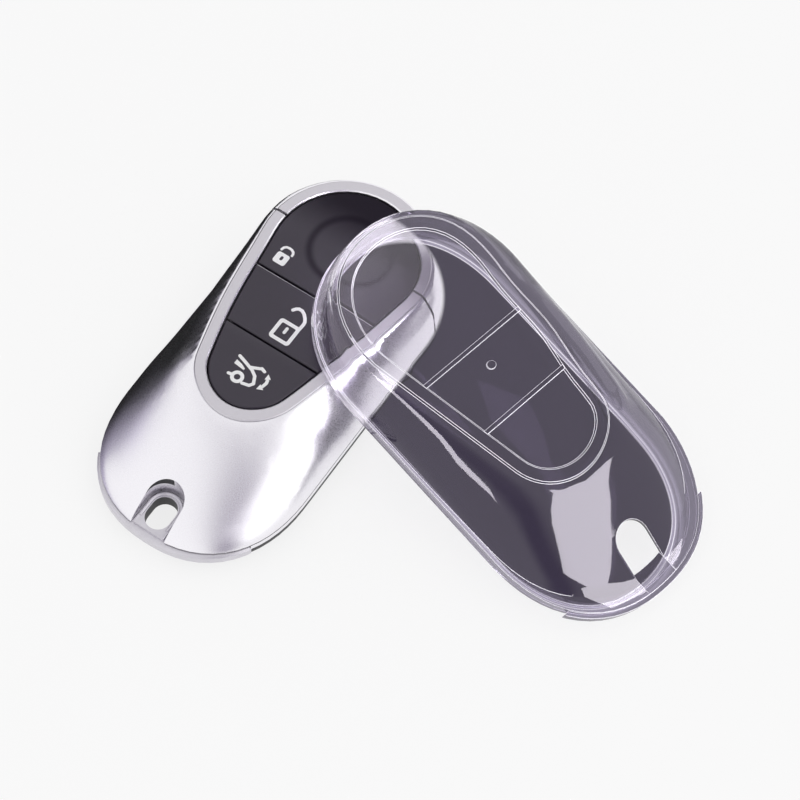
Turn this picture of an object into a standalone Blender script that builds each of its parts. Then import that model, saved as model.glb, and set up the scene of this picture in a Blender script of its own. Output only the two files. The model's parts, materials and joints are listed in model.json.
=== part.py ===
"""Satin-silver remote key fob with its clear push-on cover lying across it.

Metres, +Z up. The fob lies on its flat back at z = 0 with its top end towards +Y and its
keyring end towards -Y, and it is symmetrical about x = 0. The cover is modelled on the fob
and then moved to where it lies: rim down, one end on the fob, the other on the table.
"""

import math

import bmesh
import bpy
import numpy as np
from mathutils import Matrix, Vector
from mathutils.bvhtree import BVHTree

MM = 0.001
OBJECT_NAME = "key_fob_with_clear_cover"

# outline of the fob seen from above
HALF_WIDTH = 19.8 * MM
TOP_END_Y = 41.0 * MM
RING_END_Y = -39.5 * MM
TOP_END_DEPTH = 21.4 * MM
RING_END_DEPTH = 22.0 * MM
TOP_END_POWER = 2.1
RING_END_POWER = 2.3
OUTLINE_POINTS = 96
TRACE_STEPS = 720

# outline of the trim ring, wide at the top end and running down to a round tip
TRIM_HALF_WIDTH = 15.8 * MM
TRIM_TOP_Y = 40.2 * MM
TRIM_WIDEST_Y = 24.0 * MM
TRIM_TIP_RADIUS = 9.8 * MM
TRIM_TIP_Y = -6.4 * MM
RAY_CENTRE_Y = 13.0 * MM

# heights of the fob
EQUATOR_Z = 5.0 * MM
SHELL_TOP_Z = 13.65 * MM
TRIM_TOP_Z = 14.0 * MM
PANEL_TOP_Z = 13.75 * MM
SIDE_DOME_POWER = 1.9
RING_END_DOME_POWER = 1.35
BLEND_START = math.radians(120.0)
BLEND_END = math.radians(168.0)
DOME_RINGS = 10

# walls and gaps
GAP = 0.3 * MM
SEAM_GAP = 0.3 * MM
SHELL_WALL = 1.3 * MM
LEDGE_THICK = 1.0 * MM
LAND_WIDTH = 0.35 * MM
TRIM_WIDTH = 2.0 * MM
TRIM_THICK = 0.9 * MM
TRIM_BEVEL = 0.22 * MM
LEDGE_REACH = 1.6 * MM
CUT_OVER = 1.0 * MM
BACK_ROUND = 2.6 * MM
BACK_FLOOR = 1.2 * MM
BACK_RINGS = 5

# partings of the panel and the shell
SEAM_Y = 25.0 * MM
UPPER_DIVIDER_Y = 13.3 * MM
LOWER_DIVIDER_Y = 0.1 * MM
DIVIDER_GAP = 0.5 * MM

# buttons
BUTTON_TRAVEL = 0.5 * MM
BUTTON_FLANGE_THICK = 0.5 * MM
BUTTON_FLANGE_REACH = 0.9 * MM
BUTTON_BEVEL = 0.22 * MM
DISH_Y = 25.0 * MM
DISH_RADIUS = 7.2 * MM
DISH_DEPTH = 0.5 * MM
DISH_RINGS = 5
DISH_SEGMENTS = 40

# keyring scoop, eye and spare key
SCOOP_WIDTH = 7.4 * MM
SCOOP_END_Y = -30.2 * MM
SCOOP_WALL = 1.0 * MM
EYE_Y = -35.0 * MM
EYE_HALF_WIDTH = 2.45 * MM
EYE_HALF_LENGTH = 3.4 * MM
HEAD_BOTTOM_Z = 2.4 * MM
HEAD_TOP_Z = 4.7 * MM
HEAD_LIP_Y = -31.2 * MM
HEAD_INNER_Y = -26.0 * MM
HEAD_INNER_HALF = 12.0 * MM
TONGUE_RISE = 0.7 * MM
HEAD_PROUD = 0.95 * MM
HEAD_BEVEL = 0.35 * MM
BLADE_WIDTH = 6.4 * MM
BLADE_THICK = 1.6 * MM
BLADE_END_Y = 5.0 * MM
BLADE_POINT = 2.2 * MM
BLADE_GROOVE_WIDTH = 1.4 * MM
BLADE_GROOVE_DEPTH = 0.4 * MM

# latch of the spare key
LATCH_Y = -22.0 * MM
LATCH_WIDTH = 3.0 * MM
LATCH_LENGTH = 5.2 * MM
LATCH_BOTTOM_Z = 2.0 * MM
LATCH_TOP_Z = 4.0 * MM
LATCH_TRAVEL = 1.2 * MM
LATCH_PAD_LENGTH = 3.2 * MM
LATCH_PAD_BOTTOM_Z = 0.3 * MM
LATCH_NOTCH_DEPTH = 1.5 * MM
SPRING_RADIUS = 0.8 * MM
SPRING_WIRE = 0.15 * MM
SPRING_TURNS = 5
SPRING_STEPS = 10
SPRING_LENGTH = 3.4 * MM
SPRING_POST = 1.2 * MM

# inside of the fob
FRAME_INSET = 3.3 * MM
FRAME_WALL = 1.2 * MM
BOARD_INSET = 3.6 * MM
BOARD_THICK = 1.0 * MM
BOARD_BOTTOM_Z = 6.2 * MM
BOARD_END_Y = -24.6 * MM
CELL_RADIUS = 10.0 * MM
CELL_THICK = 3.2 * MM
CELL_Y = 18.5 * MM
CELL_BOTTOM_Z = 2.0 * MM
STRIP_THICK = 0.2 * MM
STRIP_WIDTH = 5.0 * MM
SWITCH_SIDE = 4.5 * MM
SWITCH_HEIGHT = 1.2 * MM
SWITCH_STEM_RADIUS = 1.1 * MM
SWITCH_STEM_HEIGHT = 0.4 * MM
MAT_THICK = 0.6 * MM
MAT_DOME_RADIUS = 2.4 * MM
MAT_DOME_HEIGHT = 0.15 * MM
MAT_INSET = 4.6 * MM
CHIP_SIDE = 6.0 * MM
CHIP_HEIGHT = 0.9 * MM
CRYSTAL_LENGTH = 5.0 * MM
CRYSTAL_WIDTH = 2.0 * MM
CRYSTAL_HEIGHT = 1.0 * MM
COIL_SIDE = 7.0 * MM
COIL_HEIGHT = 2.4 * MM
COIL_Y = 31.0 * MM

# clear cover
COVER_CLEARANCE = 0.3 * MM
COVER_WALL = 1.0 * MM
COVER_RIM_Z = 5.2 * MM
COVER_LIP_HEIGHT = 2.6 * MM
COVER_LIP_OUT = 0.25 * MM
COVER_END_LIP_OUT = 0.9 * MM
COVER_END_LIP_Y = -33.5 * MM
COVER_END_LIP_LIFT = 0.1 * MM
COVER_BAND_RISE = 0.35 * MM
COVER_BAND_SLOPE = 0.3 * MM
COVER_BAND_OUT = 0.1 * MM
COVER_BAND_IN = -2.4 * MM
COVER_RIB_WIDTH = 0.8 * MM
COVER_RIB_RISE = 0.3 * MM
COVER_GATE_RADIUS = 0.8 * MM
COVER_GATE_Y = 8.7 * MM
COVER_NOTCH_WIDTH = 7.2 * MM
COVER_NOTCH_END_Y = -28.4 * MM
COVER_DOME_RINGS = 10

# where the cover lies
COVER_YAW = math.radians(-12.5)
COVER_STEEPEST = math.radians(35.0)
COVER_REST_GAP = 0.36 * MM
COVER_RING_END_X = 80.0 * MM
COVER_RING_END_Y = 5.6 * MM
TILT_STEPS = 22

BEVEL_SEGMENTS = 2
BEVEL_ANGLE = math.radians(50.0)
ROUND_SEGMENTS = 32
WELD_DISTANCE = 0.002 * MM


def clear_scene():
    """Remove every object that the scene starts with."""
    for item in list(bpy.data.objects):
        bpy.data.objects.remove(item, do_unlink=True)


def make_collection(name):
    """Add a collection to the scene."""
    group = bpy.data.collections.new(name)
    bpy.context.scene.collection.children.link(group)
    return group


def make_material(name, colour, roughness, metallic=0.0, transmission=0.0):
    """Principled material with the given basic look."""
    material = bpy.data.materials.new(name)
    material.use_nodes = True
    shader = material.node_tree.nodes["Principled BSDF"]
    shader.inputs["Base Color"].default_value = (*colour, 1.0)
    shader.inputs["Roughness"].default_value = roughness
    shader.inputs["Metallic"].default_value = metallic
    shader.inputs["Transmission Weight"].default_value = transmission
    return material


def superellipse_end(half_width, depth, power, steps):
    """Quarter of a superellipse from the side to the end."""
    turn = np.linspace(0.0, math.pi / 2.0, steps)
    across = half_width * np.cos(turn) ** (2.0 / power)
    along = depth * np.sin(turn) ** (2.0 / power)
    return across, along


def fob_trace(offset):
    """Dense outline of the fob moved outward by an offset, clockwise from the top end."""
    half_width = HALF_WIDTH + offset
    top_x, top_y = superellipse_end(half_width, TOP_END_DEPTH + offset, TOP_END_POWER, TRACE_STEPS)
    end_x, end_y = superellipse_end(half_width, RING_END_DEPTH + offset, RING_END_POWER, TRACE_STEPS)
    top_start = TOP_END_Y - TOP_END_DEPTH
    end_start = RING_END_Y + RING_END_DEPTH
    right_x = np.concatenate([top_x[::-1], end_x])
    right_y = np.concatenate([top_start + top_y[::-1], end_start - end_y])
    return mirror_trace(right_x, right_y)


def mirror_trace(right_x, right_y):
    """Close a right-hand half outline with its mirror image, points evenly spaced."""
    x = np.concatenate([right_x, -right_x[::-1]])
    y = np.concatenate([right_y, right_y[::-1]])
    return along_run(x, y, TRACE_STEPS * 4)


def along_run(x, y, count):
    """Evenly spaced points along a closed run whose last point is its first."""
    run = np.concatenate([[0.0], np.cumsum(np.hypot(np.diff(x), np.diff(y)))])
    marks = np.arange(count) / count * run[-1]
    return np.interp(marks, run, x), np.interp(marks, run, y)


def trim_trace(offset):
    """Dense outline of the trim ring: half an ellipse, two tangent lines and a tip circle."""
    half_width = TRIM_HALF_WIDTH + offset
    height = TRIM_TOP_Y - TRIM_WIDEST_Y + offset
    radius = TRIM_TIP_RADIUS + offset
    turn = np.linspace(math.pi / 2.0, -math.pi / 2.0, TRACE_STEPS * 2)
    reach_big = np.hypot(half_width * np.cos(turn), height * np.sin(turn))
    lift = (TRIM_WIDEST_Y - TRIM_TIP_Y) * np.sin(turn)
    leave = turn[np.argmin(np.abs(reach_big + lift - radius))]
    top = np.linspace(math.pi / 2.0, leave, TRACE_STEPS)
    reach = np.hypot(half_width * np.cos(top), height * np.sin(top))
    top_x = half_width ** 2 * np.cos(top) / reach
    top_y = TRIM_WIDEST_Y + height ** 2 * np.sin(top) / reach
    tip = np.linspace(leave, -math.pi / 2.0, TRACE_STEPS)
    right_x = np.concatenate([top_x, radius * np.cos(tip)])
    right_y = np.concatenate([top_y, TRIM_TIP_Y + radius * np.sin(tip)])
    return mirror_trace(right_x, right_y)


def ray_angles():
    """Directions of evenly spaced points of the fob outline seen from the ray centre."""
    x, y = fob_trace(0.0)
    point_x, point_y = along_run(np.append(x, x[0]), np.append(y, y[0]), OUTLINE_POINTS)
    return np.arctan2(point_x, point_y - RAY_CENTRE_Y) % (2.0 * math.pi)


def on_rays(trace, angles):
    """Points of a dense outline on the given rays."""
    x, y = trace
    turn = np.arctan2(x, y - RAY_CENTRE_Y) % (2.0 * math.pi)
    order = np.argsort(turn)
    reach = np.interp(angles, turn[order], np.hypot(x, y - RAY_CENTRE_Y)[order], period=2.0 * math.pi)
    return np.column_stack([reach * np.sin(angles), RAY_CENTRE_Y + reach * np.cos(angles)])


class Outlines:
    """Ring maker: fob and trim outlines on shared rays, at any offset and mix."""

    def __init__(self):
        self.angles = ray_angles()
        turned = np.minimum(self.angles, 2.0 * math.pi - self.angles)
        share = np.clip((turned - BLEND_START) / (BLEND_END - BLEND_START), 0.0, 1.0)
        share = share * share * (3.0 - 2.0 * share)
        self.powers = SIDE_DOME_POWER + (RING_END_DOME_POWER - SIDE_DOME_POWER) * share

    def fob(self, offset, height):
        """Ring on the fob outline."""
        return self.lift(on_rays(fob_trace(offset), self.angles), height)

    def trim(self, offset, height):
        """Ring on the trim outline."""
        return self.lift(on_rays(trim_trace(offset), self.angles), height)

    def lift(self, points, height):
        """Give a flat ring its height."""
        return np.column_stack([points, np.full(len(points), height)])

    def dome(self, fob_offset, low, trim_offset, high, count, start_z=None):
        """Rings from the fob outline up and in to the trim outline, from a start height on."""
        outer = on_rays(fob_trace(fob_offset), self.angles)
        inner = on_rays(trim_trace(trim_offset), self.angles)
        start = np.zeros(len(self.angles))
        if start_z is not None:
            start = np.arcsin(((start_z - low) / (high - low)) ** (self.powers / 2.0))
        rings = []
        for step in range(count + 1):
            turn = start + (math.pi / 2.0 - start) * step / count
            share = 1.0 - np.maximum(np.cos(turn), 0.0) ** (2.0 / self.powers)
            rise = np.sin(turn) ** (2.0 / self.powers)
            plan = outer + (inner - outer) * share[:, None]
            rings.append(np.column_stack([plan, low + (high - low) * rise]))
        return rings


def finish_mesh(name, bm, group, material):
    """Turn a bmesh into a named object with outward faces."""
    bmesh.ops.recalc_face_normals(bm, faces=bm.faces)
    mesh = bpy.data.meshes.new(name)
    bm.to_mesh(mesh)
    bm.free()
    item = bpy.data.objects.new(name, mesh)
    group.objects.link(item)
    if material is not None:
        item.data.materials.append(material)
    return item


def skin(name, rings, group, material, capped=True):
    """Closed body through a run of rings: capped at both ends, or joined end to start."""
    bm = bmesh.new()
    loops = [[bm.verts.new(point) for point in ring] for ring in rings]
    pairs = list(zip(loops, loops[1:]))
    if not capped:
        pairs.append((loops[-1], loops[0]))
    for low, high in pairs:
        count = len(low)
        for index in range(count):
            after = (index + 1) % count
            bm.faces.new((low[index], low[after], high[after], high[index]))
    if capped:
        cap_ring(bm, loops[0])
        cap_ring(bm, loops[-1])
    return finish_mesh(name, bm, group, material)


def cap_ring(bm, loop):
    """Close a ring with one face."""
    bm.faces.new(loop)


def circle_ring(centre_x, centre_y, radius_x, radius_y, height, count):
    """Ring on an ellipse."""
    turn = np.arange(count) / count * 2.0 * math.pi
    x = centre_x + radius_x * np.cos(turn)
    y = centre_y + radius_y * np.sin(turn)
    return np.column_stack([x, y, np.full(count, height)])


def slot_ring(half_width, near_y, far_y, height):
    """Ring of a U shape: square end at near_y, round end reaching far_y."""
    turn = np.linspace(0.0, math.pi, ROUND_SEGMENTS + 1)
    x = np.concatenate([half_width * np.cos(turn), [-half_width, half_width]])
    y = np.concatenate([far_y - half_width + half_width * np.sin(turn), [near_y, near_y]])
    return np.column_stack([x, y, np.full(len(x), height)])


def oval_ring(height):
    """Ring of the keyring eye: two half circles with straight sides."""
    turn = np.linspace(0.0, math.pi, ROUND_SEGMENTS // 2 + 1)
    straight = EYE_HALF_LENGTH - EYE_HALF_WIDTH
    x = np.concatenate([EYE_HALF_WIDTH * np.cos(turn), -EYE_HALF_WIDTH * np.cos(turn)])
    along = straight + EYE_HALF_WIDTH * np.sin(turn)
    y = EYE_Y + np.concatenate([along, -along])
    return np.column_stack([x, y, np.full(len(x), height)])


def box(name, low, high, group, material=None):
    """Box between two corners."""
    bm = bmesh.new()
    bmesh.ops.create_cube(bm, size=1.0)
    centre = (Vector(low) + Vector(high)) / 2.0
    size = Vector(high) - Vector(low)
    for vertex in bm.verts:
        vertex.co = Vector([centre[k] + vertex.co[k] * size[k] for k in range(3)])
    return finish_mesh(name, bm, group, material)


def disc(name, centre, radius, height, group, material=None, segments=ROUND_SEGMENTS):
    """Upright cylinder standing on its centre point."""
    low = circle_ring(centre[0], centre[1], radius, radius, centre[2], segments)
    high = circle_ring(centre[0], centre[1], radius, radius, centre[2] + height, segments)
    return skin(name, [low, high], group, material)


def combine(item, others, operation):
    """Apply exact Booleans of several other bodies and remove those bodies."""
    for other in others:
        step = item.modifiers.new(operation.title(), "BOOLEAN")
        step.operation = operation
        step.solver = "EXACT"
        step.object = other
        apply_modifiers(item)
        bpy.data.objects.remove(other, do_unlink=True)


def apply_modifiers(item):
    """Replace an object's mesh by its evaluated mesh."""
    graph = bpy.context.evaluated_depsgraph_get()
    mesh = bpy.data.meshes.new_from_object(item.evaluated_get(graph))
    bm = bmesh.new()
    bm.from_mesh(mesh)
    bmesh.ops.remove_doubles(bm, verts=bm.verts, dist=WELD_DISTANCE)
    bmesh.ops.dissolve_degenerate(bm, edges=bm.edges, dist=WELD_DISTANCE)
    bm.to_mesh(mesh)
    bm.free()
    item.modifiers.clear()
    item.data = mesh


def bevel(item, width, angle=BEVEL_ANGLE):
    """Round the sharp edges of an object."""
    step = item.modifiers.new("Bevel", "BEVEL")
    step.width = width
    step.segments = BEVEL_SEGMENTS
    step.limit_method = "ANGLE"
    step.angle_limit = angle
    apply_modifiers(item)


def slab(name, low_y, high_y, cutters):
    """Box that keeps only the part of a body between two y values."""
    side = HALF_WIDTH * 2.0
    return box(name, (-side, low_y, -side), (side, high_y, side), cutters)


def y_slice(item, low_y, high_y, cutters):
    """Keep the part of a body between two y values."""
    combine(item, [slab("Slice", low_y, high_y, cutters)], "INTERSECT")


def make_shell_halves(lines, parts, cutters, silver):
    """Silver body and top cap: one domed shell with a seat for the trim, parted at the seam."""
    seat_z = TRIM_TOP_Z - TRIM_THICK - GAP
    under_z = seat_z - LEDGE_THICK
    rings = lines.dome(0.0, EQUATOR_Z, GAP + LAND_WIDTH, SHELL_TOP_Z, DOME_RINGS)
    rings.append(lines.trim(GAP, SHELL_TOP_Z))
    rings.append(lines.trim(GAP, seat_z))
    rings.append(lines.trim(-LEDGE_REACH, seat_z))
    inside = lines.dome(-SHELL_WALL, EQUATOR_Z, -LEDGE_REACH, under_z, DOME_RINGS)
    rings.extend(reversed(inside))
    far = HALF_WIDTH * 3.0
    front = skin("front_shell", rings, parts, silver, capped=False)
    y_slice(front, -far, SEAM_Y - SEAM_GAP / 2.0, cutters)
    cap = skin("top_cap", rings, parts, silver, capped=False)
    y_slice(cap, SEAM_Y + SEAM_GAP / 2.0, far, cutters)

    middle = lines.dome(
        -SHELL_WALL / 2.0, EQUATOR_Z, -LEDGE_REACH / 2.0, (SHELL_TOP_Z + under_z) / 2.0, DOME_RINGS
    )
    scoop_block = skin("ScoopBlock", middle, cutters, None)
    wall_half = SCOOP_WIDTH / 2.0 + SCOOP_WALL
    low = slot_ring(wall_half, -far, SCOOP_END_Y + SCOOP_WALL, EQUATOR_Z - CUT_OVER)
    high = slot_ring(wall_half, -far, SCOOP_END_Y + SCOOP_WALL, TRIM_TOP_Z + CUT_OVER)
    combine(scoop_block, [skin("ScoopWall", [low, high], cutters, None)], "INTERSECT")
    combine(front, [scoop_block], "UNION")
    combine(front, [scoop_cutter(EQUATOR_Z - CUT_OVER, TRIM_TOP_Z + CUT_OVER, cutters)], "DIFFERENCE")
    return front, cap


def scoop_cutter(low_z, high_z, cutters):
    """U-shaped cutter of the keyring scoop."""
    far = HALF_WIDTH * 3.0
    low = slot_ring(SCOOP_WIDTH / 2.0, -far, SCOOP_END_Y, low_z)
    high = slot_ring(SCOOP_WIDTH / 2.0, -far, SCOOP_END_Y, high_z)
    return skin("ScoopCut", [low, high], cutters, None)


def make_trim(lines, parts, cutters, silver):
    """Flat trim ring with bevelled edges, parted at the seam like the shell."""
    bottom_z = TRIM_TOP_Z - TRIM_THICK
    edge_z = TRIM_TOP_Z - TRIM_BEVEL
    rings = [
        lines.trim(0.0, bottom_z),
        lines.trim(0.0, edge_z),
        lines.trim(-TRIM_BEVEL, TRIM_TOP_Z),
        lines.trim(-TRIM_WIDTH + TRIM_BEVEL, TRIM_TOP_Z),
        lines.trim(-TRIM_WIDTH, edge_z),
        lines.trim(-TRIM_WIDTH, bottom_z),
    ]
    far = HALF_WIDTH * 3.0
    main = skin("bezel_main", rings, parts, silver, capped=False)
    y_slice(main, -far, SEAM_Y - SEAM_GAP / 2.0, cutters)
    end = skin("bezel_cap", rings, parts, silver, capped=False)
    y_slice(end, SEAM_Y + SEAM_GAP / 2.0, far, cutters)
    return main, end


def panel_bottom():
    """Height of the underside of the buttons."""
    under_z = TRIM_TOP_Z - TRIM_THICK - GAP - LEDGE_THICK
    return under_z - GAP - BUTTON_FLANGE_THICK


def soften_divider_edges(item, edge_values):
    """Bevel the straight top edges that a button shows to its neighbour."""
    bm = bmesh.new()
    bm.from_mesh(item.data)
    picked = []
    for edge in bm.edges:
        ends = [vertex.co for vertex in edge.verts]
        on_top = all(abs(end.z - PANEL_TOP_Z) < WELD_DISTANCE for end in ends)
        on_line = any(all(abs(end.y - value) < WELD_DISTANCE for end in ends) for value in edge_values)
        if on_top and on_line:
            picked.append(edge)
    bmesh.ops.bevel(
        bm, geom=picked, offset=BUTTON_BEVEL, offset_type="OFFSET", segments=1, affect="EDGES", profile=0.5
    )
    bmesh.ops.remove_doubles(bm, verts=bm.verts, dist=WELD_DISTANCE)
    bm.to_mesh(item.data)
    bm.free()


def make_buttons(lines, parts, cutters, black):
    """Three zones of the black panel, each with a flange that keeps it under the ledge."""
    low_z = panel_bottom()
    flange_z = low_z + BUTTON_FLANGE_THICK
    edge = -TRIM_WIDTH - GAP
    rings = [
        lines.trim(edge + BUTTON_FLANGE_REACH, low_z),
        lines.trim(edge + BUTTON_FLANGE_REACH, flange_z),
        lines.trim(edge, flange_z),
        lines.trim(edge, PANEL_TOP_Z - BUTTON_BEVEL),
        lines.trim(edge - BUTTON_BEVEL, PANEL_TOP_Z),
    ]
    half = DIVIDER_GAP / 2.0
    far = HALF_WIDTH * 3.0
    zones = (
        ("lock_button", UPPER_DIVIDER_Y + half, far),
        ("unlock_button", LOWER_DIVIDER_Y + half, UPPER_DIVIDER_Y - half),
        ("boot_button", -far, LOWER_DIVIDER_Y - half),
    )
    buttons = []
    for name, near, end in zones:
        button = skin(name, rings, parts, black)
        y_slice(button, near, end, cutters)
        soften_divider_edges(button, (near, end))
        buttons.append(button)
    combine(buttons[0], [dish_cutter(cutters)], "DIFFERENCE")
    return buttons


def dish_cutter(cutters):
    """Lens-shaped cutter of the shallow round dish."""
    sphere = (DISH_RADIUS ** 2 + DISH_DEPTH ** 2) / (2.0 * DISH_DEPTH)
    centre_z = PANEL_TOP_Z - DISH_DEPTH + sphere
    rings = []
    for step in range(1, DISH_RINGS + 1):
        radius = (DISH_RADIUS + DISH_DEPTH) * step / DISH_RINGS
        height = centre_z - math.sqrt(sphere ** 2 - radius ** 2)
        rings.append(circle_ring(0.0, DISH_Y, radius, radius, height, DISH_SEGMENTS))
    outer = DISH_RADIUS + DISH_DEPTH
    rings.append(circle_ring(0.0, DISH_Y, outer, outer, PANEL_TOP_Z + CUT_OVER, DISH_SEGMENTS))
    return skin("DishCut", rings, cutters, None)


def make_back(lines, parts, cutters, black):
    """Back tray with the keyring notch, the latch slot and the spring post."""
    top_z = EQUATOR_Z - GAP
    inner_round = BACK_ROUND - BACK_FLOOR
    rings = []
    for step in range(BACK_RINGS + 1):
        turn = math.pi / 2.0 * step / BACK_RINGS
        rings.append(lines.fob(-BACK_ROUND * (1.0 - math.sin(turn)), BACK_ROUND * (1.0 - math.cos(turn))))
    rings.append(lines.fob(0.0, top_z))
    rings.append(lines.fob(-SHELL_WALL, top_z))
    for step in range(BACK_RINGS, -1, -1):
        turn = math.pi / 2.0 * step / BACK_RINGS
        offset = -SHELL_WALL - inner_round * (1.0 - math.sin(turn))
        rings.append(lines.fob(offset, BACK_FLOOR + inner_round * (1.0 - math.cos(turn))))
    back = skin("rear_shell", rings, parts, black)

    side = HALF_WIDTH * 2.0
    far = HALF_WIDTH * 3.0
    shelf_z = HEAD_BOTTOM_Z - GAP
    head_room = box("HeadRoom", (-side, -far, shelf_z), (side, HEAD_LIP_Y + GAP, side), cutters)
    combine(back, [head_room], "DIFFERENCE")

    wall_half = SCOOP_WIDTH / 2.0 + SCOOP_WALL
    low_z = BACK_FLOOR / 2.0
    wall = skin(
        "NotchWall",
        [
            slot_ring(wall_half, -far, SCOOP_END_Y + SCOOP_WALL, low_z),
            slot_ring(wall_half, -far, SCOOP_END_Y + SCOOP_WALL, shelf_z),
        ],
        cutters,
        None,
    )
    inset = -SHELL_WALL
    limit = skin("NotchLimit", [lines.fob(inset, 0.0), lines.fob(inset, side)], cutters, None)
    combine(wall, [limit], "INTERSECT")
    combine(back, [wall], "UNION")
    combine(back, [scoop_cutter(-CUT_OVER, EQUATOR_Z + CUT_OVER, cutters)], "DIFFERENCE")

    nose = latch_nose_x()
    pad_end = nose + LATCH_LENGTH
    pad_start = pad_end - LATCH_PAD_LENGTH
    slot = box(
        "LatchSlot",
        (pad_start - LATCH_TRAVEL - GAP, LATCH_Y - LATCH_WIDTH / 2.0 - GAP, -CUT_OVER),
        (pad_end + GAP, LATCH_Y + LATCH_WIDTH / 2.0 + GAP, BACK_FLOOR + CUT_OVER),
        cutters,
    )
    combine(back, [slot], "DIFFERENCE")
    post_x = pad_end + GAP + SPRING_LENGTH + GAP
    post = box(
        "SpringPost",
        (post_x, LATCH_Y - LATCH_WIDTH / 2.0, BACK_FLOOR / 2.0),
        (post_x + SPRING_POST, LATCH_Y + LATCH_WIDTH / 2.0, LATCH_TOP_Z),
        cutters,
    )
    combine(back, [post], "UNION")
    return back


def latch_nose_x():
    """Where the nose of the latch stands when it is held open."""
    return BLADE_WIDTH / 2.0 + GAP


def make_spare_key(lines, parts, cutters, grey, steel):
    """Pull-out head with the keyring eye, and its steel blade."""
    rings = [
        lines.fob(-HEAD_BEVEL, HEAD_BOTTOM_Z),
        lines.fob(0.0, HEAD_BOTTOM_Z + HEAD_BEVEL),
        lines.fob(0.0, HEAD_TOP_Z - HEAD_BEVEL),
        lines.fob(-HEAD_BEVEL, HEAD_TOP_Z),
    ]
    rings = [ring - np.array([0.0, HEAD_PROUD, 0.0]) for ring in rings]
    far = HALF_WIDTH * 3.0
    head = skin("key_head", rings, parts, grey)
    y_slice(head, -far, HEAD_LIP_Y, cutters)
    half = HEAD_INNER_HALF
    block = box(
        "HeadBlock", (-half, HEAD_LIP_Y - CUT_OVER, HEAD_BOTTOM_Z), (half, HEAD_INNER_Y, HEAD_TOP_Z), cutters
    )
    combine(head, [block], "UNION")
    tongue_half = SCOOP_WIDTH / 2.0 - GAP
    tongue_low = (HEAD_BOTTOM_Z + HEAD_TOP_Z) / 2.0
    tongue_near = RING_END_Y + HEAD_BEVEL
    tongue = skin(
        "Tongue",
        [
            slot_ring(tongue_half, tongue_near, SCOOP_END_Y - GAP, tongue_low),
            slot_ring(tongue_half, tongue_near, SCOOP_END_Y - GAP, HEAD_TOP_Z + TONGUE_RISE),
        ],
        cutters,
        None,
    )
    bevel(tongue, HEAD_BEVEL)
    combine(head, [tongue], "UNION")
    eye = skin("Eye", [oval_ring(0.0), oval_ring(TRIM_TOP_Z)], cutters, None)
    combine(head, [eye], "DIFFERENCE")

    middle_z = (HEAD_BOTTOM_Z + HEAD_TOP_Z) / 2.0
    half = BLADE_WIDTH / 2.0
    low_z = middle_z - BLADE_THICK / 2.0
    high_z = middle_z + BLADE_THICK / 2.0
    start_y = HEAD_INNER_Y + GAP
    outline = [
        (-half, start_y),
        (half, start_y),
        (half, BLADE_END_Y - BLADE_POINT),
        (half - BLADE_POINT, BLADE_END_Y),
        (-half + BLADE_POINT, BLADE_END_Y),
        (-half, BLADE_END_Y - BLADE_POINT),
    ]
    low = np.array([(x, y, low_z) for x, y in outline])
    high = np.array([(x, y, high_z) for x, y in outline])
    blade = skin("key_blade", [low, high], parts, steel)
    notch = box(
        "BladeNotch",
        (half - LATCH_NOTCH_DEPTH, LATCH_Y - LATCH_WIDTH / 2.0 - GAP, low_z - CUT_OVER),
        (half + CUT_OVER, LATCH_Y + LATCH_WIDTH / 2.0 + GAP, high_z + CUT_OVER),
        cutters,
    )
    groove_half = BLADE_GROOVE_WIDTH / 2.0
    groove = box(
        "BladeGroove",
        (-groove_half, LATCH_Y + LATCH_WIDTH, high_z - BLADE_GROOVE_DEPTH),
        (groove_half, BLADE_END_Y + CUT_OVER, high_z + CUT_OVER),
        cutters,
    )
    combine(blade, [notch, groove], "DIFFERENCE")
    return head, blade


def make_latch(parts, cutters, black, steel):
    """Latch with its thumb pad in the back, and the spring behind it."""
    nose = latch_nose_x()
    end = nose + LATCH_LENGTH
    half = LATCH_WIDTH / 2.0
    latch = box(
        "key_latch",
        (nose, LATCH_Y - half, LATCH_BOTTOM_Z),
        (end, LATCH_Y + half, LATCH_TOP_Z),
        parts,
        black,
    )
    pad_top = (LATCH_BOTTOM_Z + LATCH_TOP_Z) / 2.0
    inset = GAP
    pad = box(
        "LatchPad",
        (end - LATCH_PAD_LENGTH, LATCH_Y - half + inset / 2.0, LATCH_PAD_BOTTOM_Z),
        (end - inset / 2.0, LATCH_Y + half - inset / 2.0, pad_top),
        cutters,
    )
    combine(latch, [pad], "UNION")

    start = end + GAP
    count = SPRING_TURNS * SPRING_STEPS
    points = []
    for step in range(count + 1):
        turn = 2.0 * math.pi * step / SPRING_STEPS
        points.append(
            (
                start + SPRING_WIRE + (SPRING_LENGTH - 2.0 * SPRING_WIRE) * step / count,
                LATCH_Y + SPRING_RADIUS * math.cos(turn),
                (LATCH_BOTTOM_Z + LATCH_TOP_Z) / 2.0 + SPRING_RADIUS * math.sin(turn),
            )
        )
    spring = wire("latch_spring", points, SPRING_WIRE, parts, steel)
    return latch, spring


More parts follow.
